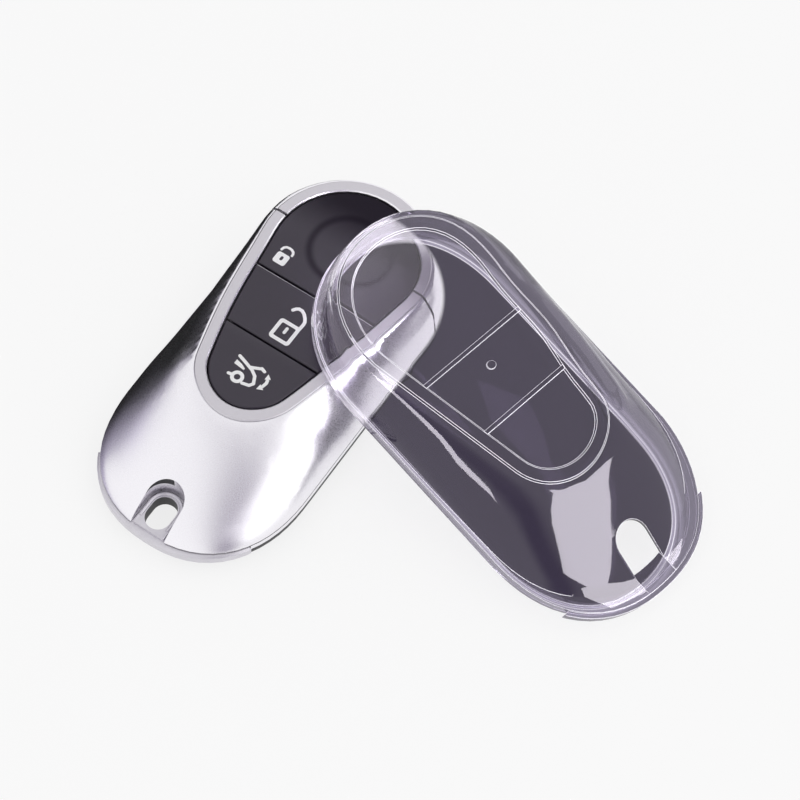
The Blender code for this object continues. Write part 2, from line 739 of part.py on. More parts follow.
def wire(name, points, radius, group, material):
    """Round wire along a run of points."""
    curve = bpy.data.curves.new(name, "CURVE")
    curve.dimensions = "3D"
    curve.bevel_depth = radius
    curve.bevel_resolution = 0
    curve.use_fill_caps = True
    line = curve.splines.new("POLY")
    line.points.add(len(points) - 1)
    for point, place in zip(line.points, points):
        point.co = (*place, 1.0)
    carrier = bpy.data.objects.new(name + "Path", curve)
    group.objects.link(carrier)
    graph = bpy.context.evaluated_depsgraph_get()
    mesh = bpy.data.meshes.new_from_object(carrier.evaluated_get(graph))
    bm = bmesh.new()
    bm.from_mesh(mesh)
    bmesh.ops.remove_doubles(bm, verts=bm.verts, dist=WELD_DISTANCE)
    bpy.data.objects.remove(carrier, do_unlink=True)
    bpy.data.meshes.remove(mesh)
    return finish_mesh(name, bm, group, material)


def make_inside(lines, parts, cutters, looks):
    """Frame, board, cell with its strips, switches, mat and the parts on the board."""
    far = HALF_WIDTH * 3.0
    frame_low = BACK_FLOOR + GAP
    frame_high = BOARD_BOTTOM_Z - GAP
    frame = skin(
        "inner_frame",
        [
            lines.fob(-FRAME_INSET, frame_low),
            lines.fob(-FRAME_INSET, frame_high),
            lines.fob(-FRAME_INSET - FRAME_WALL, frame_high),
            lines.fob(-FRAME_INSET - FRAME_WALL, frame_low),
        ],
        parts,
        looks["black"],
        capped=False,
    )
    y_slice(frame, LATCH_Y + LATCH_WIDTH, far, cutters)

    board_top = BOARD_BOTTOM_Z + BOARD_THICK
    board = skin(
        "circuit_board",
        [lines.fob(-BOARD_INSET, BOARD_BOTTOM_Z), lines.fob(-BOARD_INSET, board_top)],
        parts,
        looks["board"],
    )
    y_slice(board, BOARD_END_Y, far, cutters)

    cell = disc("coin_cell", (0.0, CELL_Y, CELL_BOTTOM_Z), CELL_RADIUS, CELL_THICK, parts, looks["steel"])
    bevel(cell, GAP)
    make_strips(parts, looks["steel"])
    base = board_top + GAP
    places = (
        ("lock_switch", (UPPER_DIVIDER_Y + DISH_Y) / 2.0),
        ("unlock_switch", (UPPER_DIVIDER_Y + LOWER_DIVIDER_Y) / 2.0),
        ("boot_switch", TRIM_TIP_Y),
    )
    half = SWITCH_SIDE / 2.0
    for name, y in places:
        top = base + SWITCH_HEIGHT
        switch = box(name, (-half, y - half, base), (half, y + half, top), parts, looks["black"])
        stem = disc(
            "Stem",
            (0.0, y, base + SWITCH_HEIGHT / 2.0),
            SWITCH_STEM_RADIUS,
            SWITCH_HEIGHT / 2.0 + SWITCH_STEM_HEIGHT,
            cutters,
        )
        combine(switch, [stem], "UNION")

    mat_low = base + SWITCH_HEIGHT + SWITCH_STEM_HEIGHT + GAP
    mat_high = mat_low + MAT_THICK
    mat = skin(
        "switch_mat",
        [lines.trim(-MAT_INSET, mat_low), lines.trim(-MAT_INSET, mat_high)],
        parts,
        looks["mat"],
    )
    y_slice(mat, -far, COIL_Y - COIL_SIDE, cutters)
    for name, y in places:
        dome = disc(
            "MatDome",
            (0.0, y, (mat_low + mat_high) / 2.0),
            MAT_DOME_RADIUS,
            MAT_THICK / 2.0 + MAT_DOME_HEIGHT,
            cutters,
        )
        combine(mat, [dome], "UNION")

    side_x = (HALF_WIDTH - BOARD_INSET) / 2.0
    chip_half = CHIP_SIDE / 2.0
    box(
        "control_chip",
        (-side_x - chip_half, LOWER_DIVIDER_Y, base),
        (-side_x + chip_half, LOWER_DIVIDER_Y + CHIP_SIDE, base + CHIP_HEIGHT),
        parts,
        looks["black"],
    )
    crystal = box(
        "crystal",
        (side_x - CRYSTAL_WIDTH / 2.0, LOWER_DIVIDER_Y, base),
        (side_x + CRYSTAL_WIDTH / 2.0, LOWER_DIVIDER_Y + CRYSTAL_LENGTH, base + CRYSTAL_HEIGHT),
        parts,
        looks["steel"],
    )
    bevel(crystal, GAP)
    coil_half = COIL_SIDE / 2.0
    coil = box(
        "antenna_coil",
        (-coil_half, COIL_Y - coil_half, base),
        (coil_half, COIL_Y + coil_half, base + COIL_HEIGHT),
        parts,
        looks["copper"],
    )
    bevel(coil, GAP)


def make_strips(parts, steel):
    """Bent contact strips over and under the cell."""
    low = CELL_Y - STRIP_WIDTH / 2.0
    high = CELL_Y + STRIP_WIDTH / 2.0
    leg_x = CELL_RADIUS + STRIP_THICK + GAP
    over_z = CELL_BOTTOM_Z + CELL_THICK + GAP
    under_z = CELL_BOTTOM_Z - GAP - STRIP_THICK
    leg_z = CELL_BOTTOM_Z + CELL_THICK / 2.0
    upper = [
        (-leg_x, over_z),
        (-leg_x, over_z + STRIP_THICK),
        (leg_x + STRIP_THICK, over_z + STRIP_THICK),
        (leg_x + STRIP_THICK, leg_z),
        (leg_x, leg_z),
        (leg_x, over_z),
    ]
    lower = [
        (leg_x - STRIP_THICK, under_z),
        (-leg_x - STRIP_THICK, under_z),
        (-leg_x - STRIP_THICK, leg_z),
        (-leg_x, leg_z),
        (-leg_x, under_z + STRIP_THICK),
        (leg_x - STRIP_THICK, under_z + STRIP_THICK),
    ]
    for name, outline in (("cell_contact_top", upper), ("cell_contact_bottom", lower)):
        near = np.array([(x, low, z) for x, z in outline])
        far = np.array([(x, high, z) for x, z in outline])
        skin(name, [near, far], parts, steel)


def make_cover(lines, parts, cutters, clear):
    """Clear cover as it sits on the fob: domed shell, lip, panel band, ribs and notch."""
    off = COVER_CLEARANCE + COVER_WALL
    lip_z = COVER_RIM_Z + COVER_LIP_HEIGHT
    band_top = TRIM_TOP_Z + COVER_CLEARANCE + COVER_WALL
    panel_z = band_top - COVER_BAND_RISE
    ceiling_z = TRIM_TOP_Z + COVER_CLEARANCE
    rings = [lines.fob(off + COVER_LIP_OUT, COVER_RIM_Z), lines.fob(off + COVER_LIP_OUT, lip_z)]
    rings.extend(lines.dome(off, COVER_RIM_Z, off, panel_z, COVER_DOME_RINGS, start_z=lip_z))
    band_in = COVER_BAND_IN
    rings.append(lines.trim(COVER_BAND_OUT + COVER_BAND_SLOPE, panel_z))
    rings.append(lines.trim(COVER_BAND_OUT, band_top))
    rings.append(lines.trim(band_in + COVER_BAND_SLOPE, band_top))
    rings.append(lines.trim(band_in, panel_z))
    inside_high = SHELL_TOP_Z + COVER_CLEARANCE
    inside = lines.dome(
        COVER_CLEARANCE, COVER_RIM_Z, GAP + LAND_WIDTH + COVER_CLEARANCE, inside_high, COVER_DOME_RINGS
    )
    ceiling = lines.trim(COVER_CLEARANCE, ceiling_z)
    cover = cover_skin("clear_cover", rings, list(reversed(inside)), ceiling, parts, clear)

    far = HALF_WIDTH * 3.0
    end_lip = skin(
        "EndLip",
        [
            lines.fob(off + COVER_LIP_OUT + COVER_END_LIP_OUT, COVER_RIM_Z + COVER_END_LIP_LIFT),
            lines.fob(off + COVER_LIP_OUT + COVER_END_LIP_OUT, lip_z - COVER_WALL / 2.0),
            lines.fob(off, lip_z - COVER_WALL / 2.0),
            lines.fob(off, COVER_RIM_Z + COVER_END_LIP_LIFT),
        ],
        cutters,
        None,
        capped=False,
    )
    y_slice(end_lip, -far, COVER_END_LIP_Y, cutters)
    combine(cover, [end_lip], "UNION")

    rib_low = panel_z - COVER_RIB_RISE
    for name, y in (("UpperRib", UPPER_DIVIDER_Y), ("LowerRib", LOWER_DIVIDER_Y)):
        inset = band_in + COVER_BAND_SLOPE * 2.0
        rib = skin(
            name,
            [lines.trim(inset, rib_low), lines.trim(inset, panel_z + COVER_RIB_RISE)],
            cutters,
            None,
        )
        y_slice(rib, y - COVER_RIB_WIDTH / 2.0, y + COVER_RIB_WIDTH / 2.0, cutters)
        combine(cover, [rib], "UNION")
    gate = disc(
        "Gate",
        (0.0, COVER_GATE_Y, rib_low),
        COVER_GATE_RADIUS,
        COVER_RIB_RISE * 2.0,
        cutters,
        segments=ROUND_SEGMENTS // 2,
    )
    combine(cover, [gate], "UNION")

    half = COVER_NOTCH_WIDTH / 2.0
    notch_low = lip_z - COVER_BAND_RISE / 2.0
    notch = skin(
        "NotchCut",
        [
            slot_ring(half, -far, COVER_NOTCH_END_Y, notch_low),
            slot_ring(half, -far, COVER_NOTCH_END_Y, band_top + CUT_OVER),
        ],
        cutters,
        None,
    )
    combine(cover, [notch], "DIFFERENCE")
    return cover


def cover_skin(name, outer, inner, ceiling, group, material):
    """Shell body: outer rings closed by the panel, inner rings closed by the ceiling."""
    bm = bmesh.new()
    outside = [[bm.verts.new(point) for point in ring] for ring in outer]
    inside = [[bm.verts.new(point) for point in ring] for ring in [ceiling] + inner]
    for loops in (outside, inside):
        for low, high in zip(loops, loops[1:]):
            bridge(bm, low, high)
    bridge(bm, inside[-1], outside[0])
    cap_ring(bm, outside[-1])
    cap_ring(bm, inside[0])
    return finish_mesh(name, bm, group, material)


def bridge(bm, low, high):
    """Faces between two rings of the same count."""
    count = len(low)
    for index in range(count):
        after = (index + 1) % count
        bm.faces.new((low[index], low[after], high[after], high[index]))


def lay_cover(cover, carriers):
    """Move the cover from the fob to where it lies: ring end on the table, rim on the fob."""
    start = [vertex.co.copy() for vertex in cover.data.vertices]
    low, high = 0.0, COVER_STEEPEST
    for _ in range(TILT_STEPS):
        tilt = (low + high) / 2.0
        place_cover(cover, start, tilt)
        if height_over(cover, carriers) < COVER_REST_GAP:
            low = tilt
        else:
            high = tilt
    place_cover(cover, start, high)


def place_cover(cover, start, tilt):
    """Put the cover at its place with the given tilt, its lowest edge on the table."""
    along = Vector(
        (math.cos(COVER_YAW) * math.cos(tilt), math.sin(COVER_YAW) * math.cos(tilt), -math.sin(tilt))
    )
    across = Vector((-math.sin(COVER_YAW), math.cos(COVER_YAW), 0.0))
    normal = along.cross(across)
    turn = Matrix((across, -along, normal)).transposed()
    end = Vector((0.0, RING_END_Y - COVER_CLEARANCE - COVER_WALL - COVER_LIP_OUT, COVER_RIM_Z))
    shift = Vector((COVER_RING_END_X, COVER_RING_END_Y, 0.0)) - turn @ end
    placed = [turn @ point + shift for point in start]
    drop = min(point.z for point in placed)
    for vertex, point in zip(cover.data.vertices, placed):
        vertex.co = point - Vector((0.0, 0.0, drop))


def height_over(cover, carriers):
    """Least upright distance between the cover and the pieces that it lies on."""
    down = Vector((0.0, 0.0, -1.0))
    cover_tree = surface_tree(cover)
    least = HALF_WIDTH
    for item in carriers:
        tree = surface_tree(item)
        for points, target, way in ((cover, tree, down), (item, cover_tree, -down)):
            for vertex in points.data.vertices:
                hit = target.ray_cast(vertex.co - way * TRIM_TOP_Z, way)[0]
                if hit is not None:
                    least = min(least, (hit - vertex.co).dot(way))
    return least


def surface_tree(item):
    """Search tree of an object's faces."""
    faces = [tuple(face.vertices) for face in item.data.polygons]
    return BVHTree.FromPolygons([vertex.co for vertex in item.data.vertices], faces)


def mark_joint(name, place, group):
    """Empty that marks where a moving piece slides."""
    empty = bpy.data.objects.new(name, None)
    empty.location = place
    empty.empty_display_size = CELL_RADIUS
    group.objects.link(empty)


def main():
    """Build every piece."""
    clear_scene()
    parts = make_collection(OBJECT_NAME)
    cutters = make_collection("cutters")
    looks = {
        "satin": make_material("satin_silver", (0.78, 0.77, 0.79), 0.28, metallic=1.0),
        "matte": make_material("matte_silver", (0.72, 0.71, 0.73), 0.5, metallic=0.9),
        "panel": make_material("panel_black", (0.03, 0.03, 0.035), 0.4),
        "black": make_material("black_plastic", (0.02, 0.02, 0.022), 0.5),
        "grey": make_material("head_grey", (0.5, 0.49, 0.51), 0.4),
        "steel": make_material("steel", (0.6, 0.6, 0.61), 0.3, metallic=1.0),
        "board": make_material("board_green", (0.02, 0.14, 0.06), 0.5),
        "mat": make_material("mat_silicone", (0.55, 0.55, 0.57), 0.6),
        "copper": make_material("coil_copper", (0.55, 0.25, 0.12), 0.4, metallic=0.6),
        "clear": make_material("clear_plastic", (0.9, 0.9, 0.92), 0.05, transmission=1.0),
    }
    lines = Outlines()
    shells = make_shell_halves(lines, parts, cutters, looks["satin"])
    trims = make_trim(lines, parts, cutters, looks["matte"])
    make_buttons(lines, parts, cutters, looks["panel"])
    make_back(lines, parts, cutters, looks["black"])
    make_spare_key(lines, parts, cutters, looks["grey"], looks["steel"])
    make_latch(parts, cutters, looks["black"], looks["steel"])
    make_inside(lines, parts, cutters, looks)
    cover = make_cover(lines, parts, cutters, looks["clear"])
    lay_cover(cover, shells + trims)
    mark_joint("axis_lock_button", (0.0, DISH_Y, PANEL_TOP_Z), parts)
    mark_joint("axis_unlock_button", (0.0, (UPPER_DIVIDER_Y + LOWER_DIVIDER_Y) / 2.0, PANEL_TOP_Z), parts)
    mark_joint("axis_boot_button", (0.0, TRIM_TIP_Y, PANEL_TOP_Z), parts)
    mark_joint("axis_spare_key", (0.0, HEAD_INNER_Y, (HEAD_BOTTOM_Z + HEAD_TOP_Z) / 2.0), parts)
    mark_joint("axis_latch", (latch_nose_x(), LATCH_Y, LATCH_BOTTOM_Z), parts)
    mark_joint("axis_cover", (COVER_RING_END_X, COVER_RING_END_Y, 0.0), parts)


main()
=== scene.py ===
"""Looks of the silver key fob and the clear cover that lies across it.

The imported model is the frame. Every outside part is a smooth copy of its solid, with the material
that the real part has, and the signs on the buttons are thin raised prints on top of them.
"""

import json
import math

import bpy
from mathutils import Matrix, Quaternion, Vector

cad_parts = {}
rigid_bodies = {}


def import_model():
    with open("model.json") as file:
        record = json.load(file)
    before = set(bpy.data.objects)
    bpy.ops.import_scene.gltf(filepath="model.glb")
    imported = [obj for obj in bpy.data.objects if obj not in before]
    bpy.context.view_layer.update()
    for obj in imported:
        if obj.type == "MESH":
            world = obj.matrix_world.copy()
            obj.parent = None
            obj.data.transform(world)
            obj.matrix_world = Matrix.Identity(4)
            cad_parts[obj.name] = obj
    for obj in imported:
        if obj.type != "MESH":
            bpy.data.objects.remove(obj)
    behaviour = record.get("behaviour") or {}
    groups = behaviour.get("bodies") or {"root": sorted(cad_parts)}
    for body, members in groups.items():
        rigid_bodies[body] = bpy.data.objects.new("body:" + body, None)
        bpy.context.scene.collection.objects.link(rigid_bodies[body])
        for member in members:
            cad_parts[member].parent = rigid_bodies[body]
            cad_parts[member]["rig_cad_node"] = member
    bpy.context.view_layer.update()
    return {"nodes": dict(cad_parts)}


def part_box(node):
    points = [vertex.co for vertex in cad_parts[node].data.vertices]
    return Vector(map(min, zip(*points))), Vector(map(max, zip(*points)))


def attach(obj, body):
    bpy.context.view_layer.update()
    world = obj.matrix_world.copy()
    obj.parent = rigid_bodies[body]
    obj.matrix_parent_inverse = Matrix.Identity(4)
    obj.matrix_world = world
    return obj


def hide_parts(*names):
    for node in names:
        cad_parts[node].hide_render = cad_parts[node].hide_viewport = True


bl_info = {
    "name": "Key Fob With Clear Cover",
    "version": (1, 0, 0),
    "blender": (4, 5, 0),
    "location": "3D View > Sidebar > Key Fob",
    "description": "Dresses a packed key fob and its clear cover",
    "category": "Object",
}

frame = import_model()

MM = 0.001
WELD_DISTANCE = 0.000002
SMOOTH_ANGLE = math.radians(32.0)

# The camera as fitted to the photograph: it looks at VIEW_POINT from VIEW_AZIMUTH and VIEW_HEIGHT.
VIEW_AZIMUTH = math.radians(34.8)
VIEW_HEIGHT = math.radians(61.0)
VIEW_POINT = Vector((0.0, 0.0, 0.006))
VIEW_DISTANCE = 0.420
PIXELS_PER_METRE = 5390.0
PICTURE_SIDE = 800.0
VIEW_POINT_PIXEL = (272.5, 371.7)
SENSOR_WIDTH = 36.0
FLOOR_BELOW = 0.02 * MM
FLOOR_GLOW = 0.8
CARD_NEAR = 0.021
CARD_FAR = 0.38
CARD_FRONT = -0.14
CARD_BACK = 0.27
CARD_HEIGHT = 0.36
CARD_LEVEL = 0.5 * MM
CARD_GLOW_MIDDLE = (0.02, -0.03)
GREY_BAND_AZIMUTH = math.radians(46.0)

# Where the cover lies, in millimetres: its own frame is the fob's, turned and tilted.
COVER_YAW = math.radians(-12.5)
COVER_TILT = math.radians(12.15)
COVER_RING_END = Vector((80.0, 5.6, 0.09))
COVER_RING_END_AT_HOME = Vector((0.0, -41.05, 5.2))
RIM_LEVEL = 5.2

# The fob's outline, in millimetres: straight sides between two superellipse ends.
OUTLINE_MIDDLE = 1.05
OUTLINE_STRAIGHT = 18.55
FOB_HALF_WIDTH = 19.8
FOB_END_DEPTH = 19.9
FOB_WIDEST_LEVEL = 5.0
OPENING_HALF_WIDTH = 17.6
OPENING_END_DEPTH = 20.9
OPENING_POWER = 2.2
FOB_POWER = 2.1
SILVER_SIDE_FROM = 3.4 * MM

# The top of the moulded fob, in millimetres: it sits a little to one side of the plain solids, and
# its trim bulges where theirs is straight.
TOP_SHIFT = (-0.8, 0.75)
BULGE = 1.15
BULGE_AT_Y = 3.0
BULGE_REACH = 15.0
BULGE_SIDE = 8.0
TOP_LEVELS = (11.0, 13.4)
TOP_LEAN_LEVELS = (5.2, 13.4)
TOP_FADE = (-22.0, -12.0)
TOP_ROWS = range(-22, 42, 2)

# The shoulder between the widest level and the trim: a superellipse of the solid's power there, and
# of the flatter power that the moulding shows. The change fades out towards the ring end.
DOME_HEIGHT = 8.65
DOME_POWER = 1.9
FLANK_POWER = 1.25
FLANK_FADE = (-14.0, -2.0)
FLANK_FAR_FADE = (20.0, 31.0)
# Level above which the scoop's wall is given black plastic as painted shade.
PAINTED_SCOOP_SHADE_FROM = 8.2 * MM
DISH_MIDDLE = (-0.8, 25.75, 0.0)
DISH_RADIUS = 7.2
# Reach of the painted shade along the dish's rim, and from where to where it darkens the panel towards
# its far end.
DISH_RIM_SHADE_WIDTH = 1.3
PANEL_END_SHADE = (24.0, 35.0)
TRIM_OVERLAP = 0.3
TRIM_OVERLAP_FROM = 13.68
LEAST_SIDEWAYS = 0.01
TRIM_SEAM_Y = 25.0 * MM
TRIM_SEAM_GAP = 0.3 * MM
RING_MIDDLE = Vector((0.0, 12.0 * MM, 0.0))
COVER_EDGE_WIDTH = 0.10 * MM
COVER_EDGE_ANGLE = math.radians(35.0)
SEAM_WIDEN = 0.12 * MM
BEAD_HALF_WIDTH = 2.95 * MM
BEAD_START_Y = -37.4 * MM
BEAD_ARC_Y = -33.9 * MM
BEAD_LEVEL = 5.38 * MM

# Reach of the painted shade, black plastic on the walls of the scoop and of the keyring eye: half
# width, and from where to where.
PAINTED_SCOOP_SHADE_WALL = (4.2, -41.0, -29.0)
PAINTED_EYE_SHADE_WALL = (2.6, -38.6, -31.4)

# Grain of the nylon, flake of the lacquer and the coil's wire, in millimetres. A wave texture of
# scale 1 repeats every pi / WAVE_UNIT.
NYLON_GRAIN = 0.45
METAL_FLAKE = 0.12
WIRE_THICK = 0.25
WAVE_UNIT = 10.0

# The cover, in millimetres of its own frame: it lies a little further to the right than the plain
# solid, its right side stands out, and the top of that side has two soft swells of (size, y, reach).
COVER_SWELLS = ((3.2, -10.0, 9.0), (2.4, 6.0, 10.0))
COVER_SHIFT = 0.75
COVER_SIDE_OUT = (-0.4, 1.3)
COVER_SIDE_FADE = (-36.0, -14.0)
COVER_TOP_SHIFT = (0.25, -0.9)
COVER_TOP_RIGHT = 1.65
COVER_TOP_LEVELS = (12.5, 14.6)
COVER_TOP_RING_END = (-24.0, -16.0)
COVER_TOP_FAR_END = (20.0, 37.0)
COVER_SIDES = (-8.0, 8.0)
COVER_ROWS = range(-21, 24, 3)
COVER_CUT_FROM = (4.0, 12.0)
# Middle across of the outline that the cover's painted rim bands follow.
PAINTED_RIM_MIDDLE = -1.4

# The lamps: azimuth, height and roll in degrees, then distance, width and depth in metres.
RIGHT_LAMP = (98.0, 40.0, 0.0, 0.9, 1.3, 0.9)
COVER_STRIP = (89.0, 43.5, 36.0, 0.9, 0.84, 0.36)
COVER_TOP_STRIP = (20.0, 64.0, -8.0, 0.9, 0.08, 0.42)


def toward(azimuth, height, distance):
    """The point that lies that far away in a direction given in radians."""
    level = math.cos(height)
    way = (math.sin(azimuth) * level, -math.cos(azimuth) * level, math.sin(height))
    return Vector(way) * distance


LEAN = toward(VIEW_AZIMUTH, VIEW_HEIGHT, 1.0)


def linear(hex_colour):
    """The linear colour, with full alpha, of one that is written as sRGB hex."""
    parts = [int(hex_colour[i : i + 2], 16) / 255.0 for i in (1, 3, 5)]
    return tuple(
        p / 12.92 if p <= 0.04045 else ((p + 0.055) / 1.055) ** 2.4 for p in parts
    ) + (1.0,)


def colour_property(name, hex_colour, description):
    """A colour that the sidebar shows, with its default written as sRGB hex."""
    return bpy.props.FloatVectorProperty(
        name=name,
        description=description,
        default=linear(hex_colour),
        size=4,
        min=0.0,
        max=1.0,
        subtype="COLOR",
    )


def length_property(name, millimetres, description):
    """A length that the sidebar shows, with its default written in millimetres."""
    return bpy.props.FloatProperty(
        name=name,
        description=description,
        default=millimetres * MM,
        min=0.0,
        subtype="DISTANCE",
        unit="LENGTH",
    )


class FobColours(bpy.types.PropertyGroup):
    """Colours of the fob, the spare key and the cover."""

    silver: colour_property("Silver", "#f7f5fa", "Satin plating of the body")
    trim: colour_property("Trim", "#dedbe1", "Blasted plating of the trim ring")
    panel: colour_property("Panel", "#322b39", "Moulded plastic of the buttons")
    # The button edges' pale colour is a painted highlight.
    button_edge_highlight: colour_property("Button edges", "#f0eef4", "Rubbed upper edges of the buttons")
    sign: colour_property("Signs", "#ffffff", "Ink of the button signs")
    back: colour_property("Back", "#26252a", "Moulded plastic of the back")
    key_head: colour_property("Key head", "#e2dfe6", "Painted casting of the spare key's head")
    steel: colour_property("Steel", "#c4c2c0", "Brushed steel of blade, cell and contacts")
    board: colour_property("Board", "#1f5a3c", "Solder mask of the circuit board")
    tracks: colour_property("Tracks", "#3d8159", "Copper tracks seen through the solder mask")
    mat: colour_property("Mat", "#b9b6b0", "Silicone mat under the buttons")
    copper: colour_property("Copper", "#b4622f", "Enamelled wire of the coil")
    ferrite: colour_property("Ferrite", "#3a3637", "Core of the coil")
    cover_clear: colour_property("Cover over the fob", "#f4f1f8", "Clear half of the cover")
    # The cover's rim is painted a lighter grey, with painted highlight lines and painted dark bands on
    # it.
    cover_rim: colour_property("Cover's rim", "#9a94a6", "Light smoke of the cover's walls and rim")
    # The cover's dark colour is painted: it stands in for dark surroundings seen through clear plastic
    # past the fob.
    cover_painted_dark: colour_property("Cover's smoke", "#3a3446", "Dark smoke of the cover's top")
    cover_line_highlight: colour_property("Cover's lines", "#f6f3fb", "Fine frosted edges moulded on the cover")
    floor: colour_property("Floor", "#f4f4f4", "Paper that the fob lies on")


class FobSizes(bpy.types.PropertyGroup):
    """Sizes of what is added to the solids."""

    sign_thick: length_property("Print thickness", 0.06, "Height of the signs over the buttons")
    sign_sunk: length_property("Print depth", 0.03, "How far the signs reach into the buttons")
    lock_stroke: length_property("Lock stroke", 0.5, "Line width of the small padlock's shackle")
    unlock_stroke: length_property("Unlock stroke", 0.66, "Line width of the open padlock")
    boot_stroke: length_property("Boot stroke", 0.62, "Line width of the car with its boot open")
    bead_radius: length_property("Bead radius", 0.33, "Half the width of the bead on the key's tab")
    silver_grain: length_property("Silver grain", 0.15, "Grain of the satin plating")
    trim_grain: length_property("Trim grain", 0.16, "Grain of the blasted trim ring")
    panel_grain: length_property("Panel grain", 0.18, "Spark-eroded grain of the buttons")


class StudioLight(bpy.types.PropertyGroup):
    """Strength of the lamps and of the pale room round the fob."""

    key_lamp: bpy.props.FloatProperty(
        name="Right lamp", description="Radiance of the lamp at the right", default=0.6, min=0.0
    )
    cover_strips: bpy.props.FloatProperty(
        name="Cover strips",
        description="Radiance of the two narrow lamps that only the clear cover mirrors",
        default=9.0,
        min=0.0,
    )
    room: bpy.props.FloatProperty(
        name="Room", description="Light of the room on matte surfaces", default=0.75, min=0.0
    )


def feed(tree, item, inputs):
    """Gives a node's sockets, by name or number, each a value or the socket that feeds it."""
    for key, value in inputs.items():
        if isinstance(value, bpy.types.NodeSocket):
            tree.links.new(value, item.inputs[key])
        else:
            item.inputs[key].default_value = value


def add(tree, kind, inputs=None, **settings):
    """Adds a node with its settings, and feeds its sockets."""
    item = tree.nodes.new(kind)
    for name, value in settings.items():
        setattr(item, name, value)
    feed(tree, item, inputs or {})
    return item


def new_material(name):
    """A material with an empty shader, and the place on the piece in millimetres."""
    made = bpy.data.materials.new(name)
    made.use_nodes = True
    tree = made.node_tree
    tree.nodes.clear()
    shader = add(tree, "ShaderNodeBsdfPrincipled")
    add(tree, "ShaderNodeOutputMaterial", {"Surface": shader.outputs["BSDF"]})
    place = add(tree, "ShaderNodeTexCoord").outputs["Object"]
    per_mm = (1.0 / MM, 1.0 / MM, 1.0 / MM)
    scaled = add(tree, "ShaderNodeVectorMath", {0: place, 1: per_mm}, operation="MULTIPLY")
    return made, tree, shader, scaled.outputs["Vector"]


def darker(colour, share):
    """The same colour with only that share of its light."""
    return tuple(part * share for part in colour[:3]) + (1.0,)


def surface(tree, shader, values, tint=None, rough=None, bump=None):
    """Sets a shader: plain values, and the patterns behind its colour, roughness and relief.

    tint and rough hold a pattern and what it gives at 0 and at 1. bump holds a pattern, its
    strength and its height in millimetres.
    """
    sockets = dict(values)
    if tint:
        inputs = dict(zip(("Factor", 6, 7), tint))
        sockets["Base Color"] = add(tree, "ShaderNodeMix", inputs, data_type="RGBA").outputs[2]
    if rough:
        inputs = dict(zip(("Value", "To Min", "To Max"), rough))
        sockets["Roughness"] = add(tree, "ShaderNodeMapRange", inputs).outputs["Result"]
    if bump:
        pattern, strength, height = bump
        inputs = {"Height": pattern, "Strength": strength, "Distance": height * MM}
        sockets["Normal"] = add(tree, "ShaderNodeBump", inputs).outputs["Normal"]
    feed(tree, shader, sockets)


def satin_silver(colours, sizes):
    """Satin chrome plating on cast metal: soft wide highlights with a fine silky grain."""
    made, tree, shader, place = new_material("satin_chrome_plating")
    grain = add(
        tree,
        "ShaderNodeTexNoise",
        {"Vector": place, "Scale": MM / sizes.silver_grain, "Detail": 3.0, "Roughness": 0.6},
    ).outputs["Fac"]
    cloud = add(tree, "ShaderNodeTexNoise", {"Vector": place, "Scale": 0.09, "Detail": 2.0})
    surface(
        tree,
        shader,
        {"Metallic": 1.0},
        tint=(cloud.outputs["Fac"], darker(colours.silver, 0.97), colours.silver),
        rough=(grain, 0.23, 0.33),
        bump=(grain, 0.06, 0.02),
    )
    return made


def matte_silver(colours, sizes):
    """Bead-blasted nickel plating: a flat pale grey whose grit sparkles a little."""
    made, tree, shader, place = new_material("bead_blasted_nickel")
    grit = add(
        tree,
        "ShaderNodeTexNoise",
        {"Vector": place, "Scale": MM / sizes.trim_grain, "Detail": 4.0, "Roughness": 0.7},
    ).outputs["Fac"]
    surface(
        tree,
        shader,
        {"Metallic": 1.0},
        tint=(grit, darker(colours.trim, 0.78), colours.trim),
        rough=(grit, 0.40, 0.58),
        bump=(grit, 0.25, 0.04),
    )
    return made


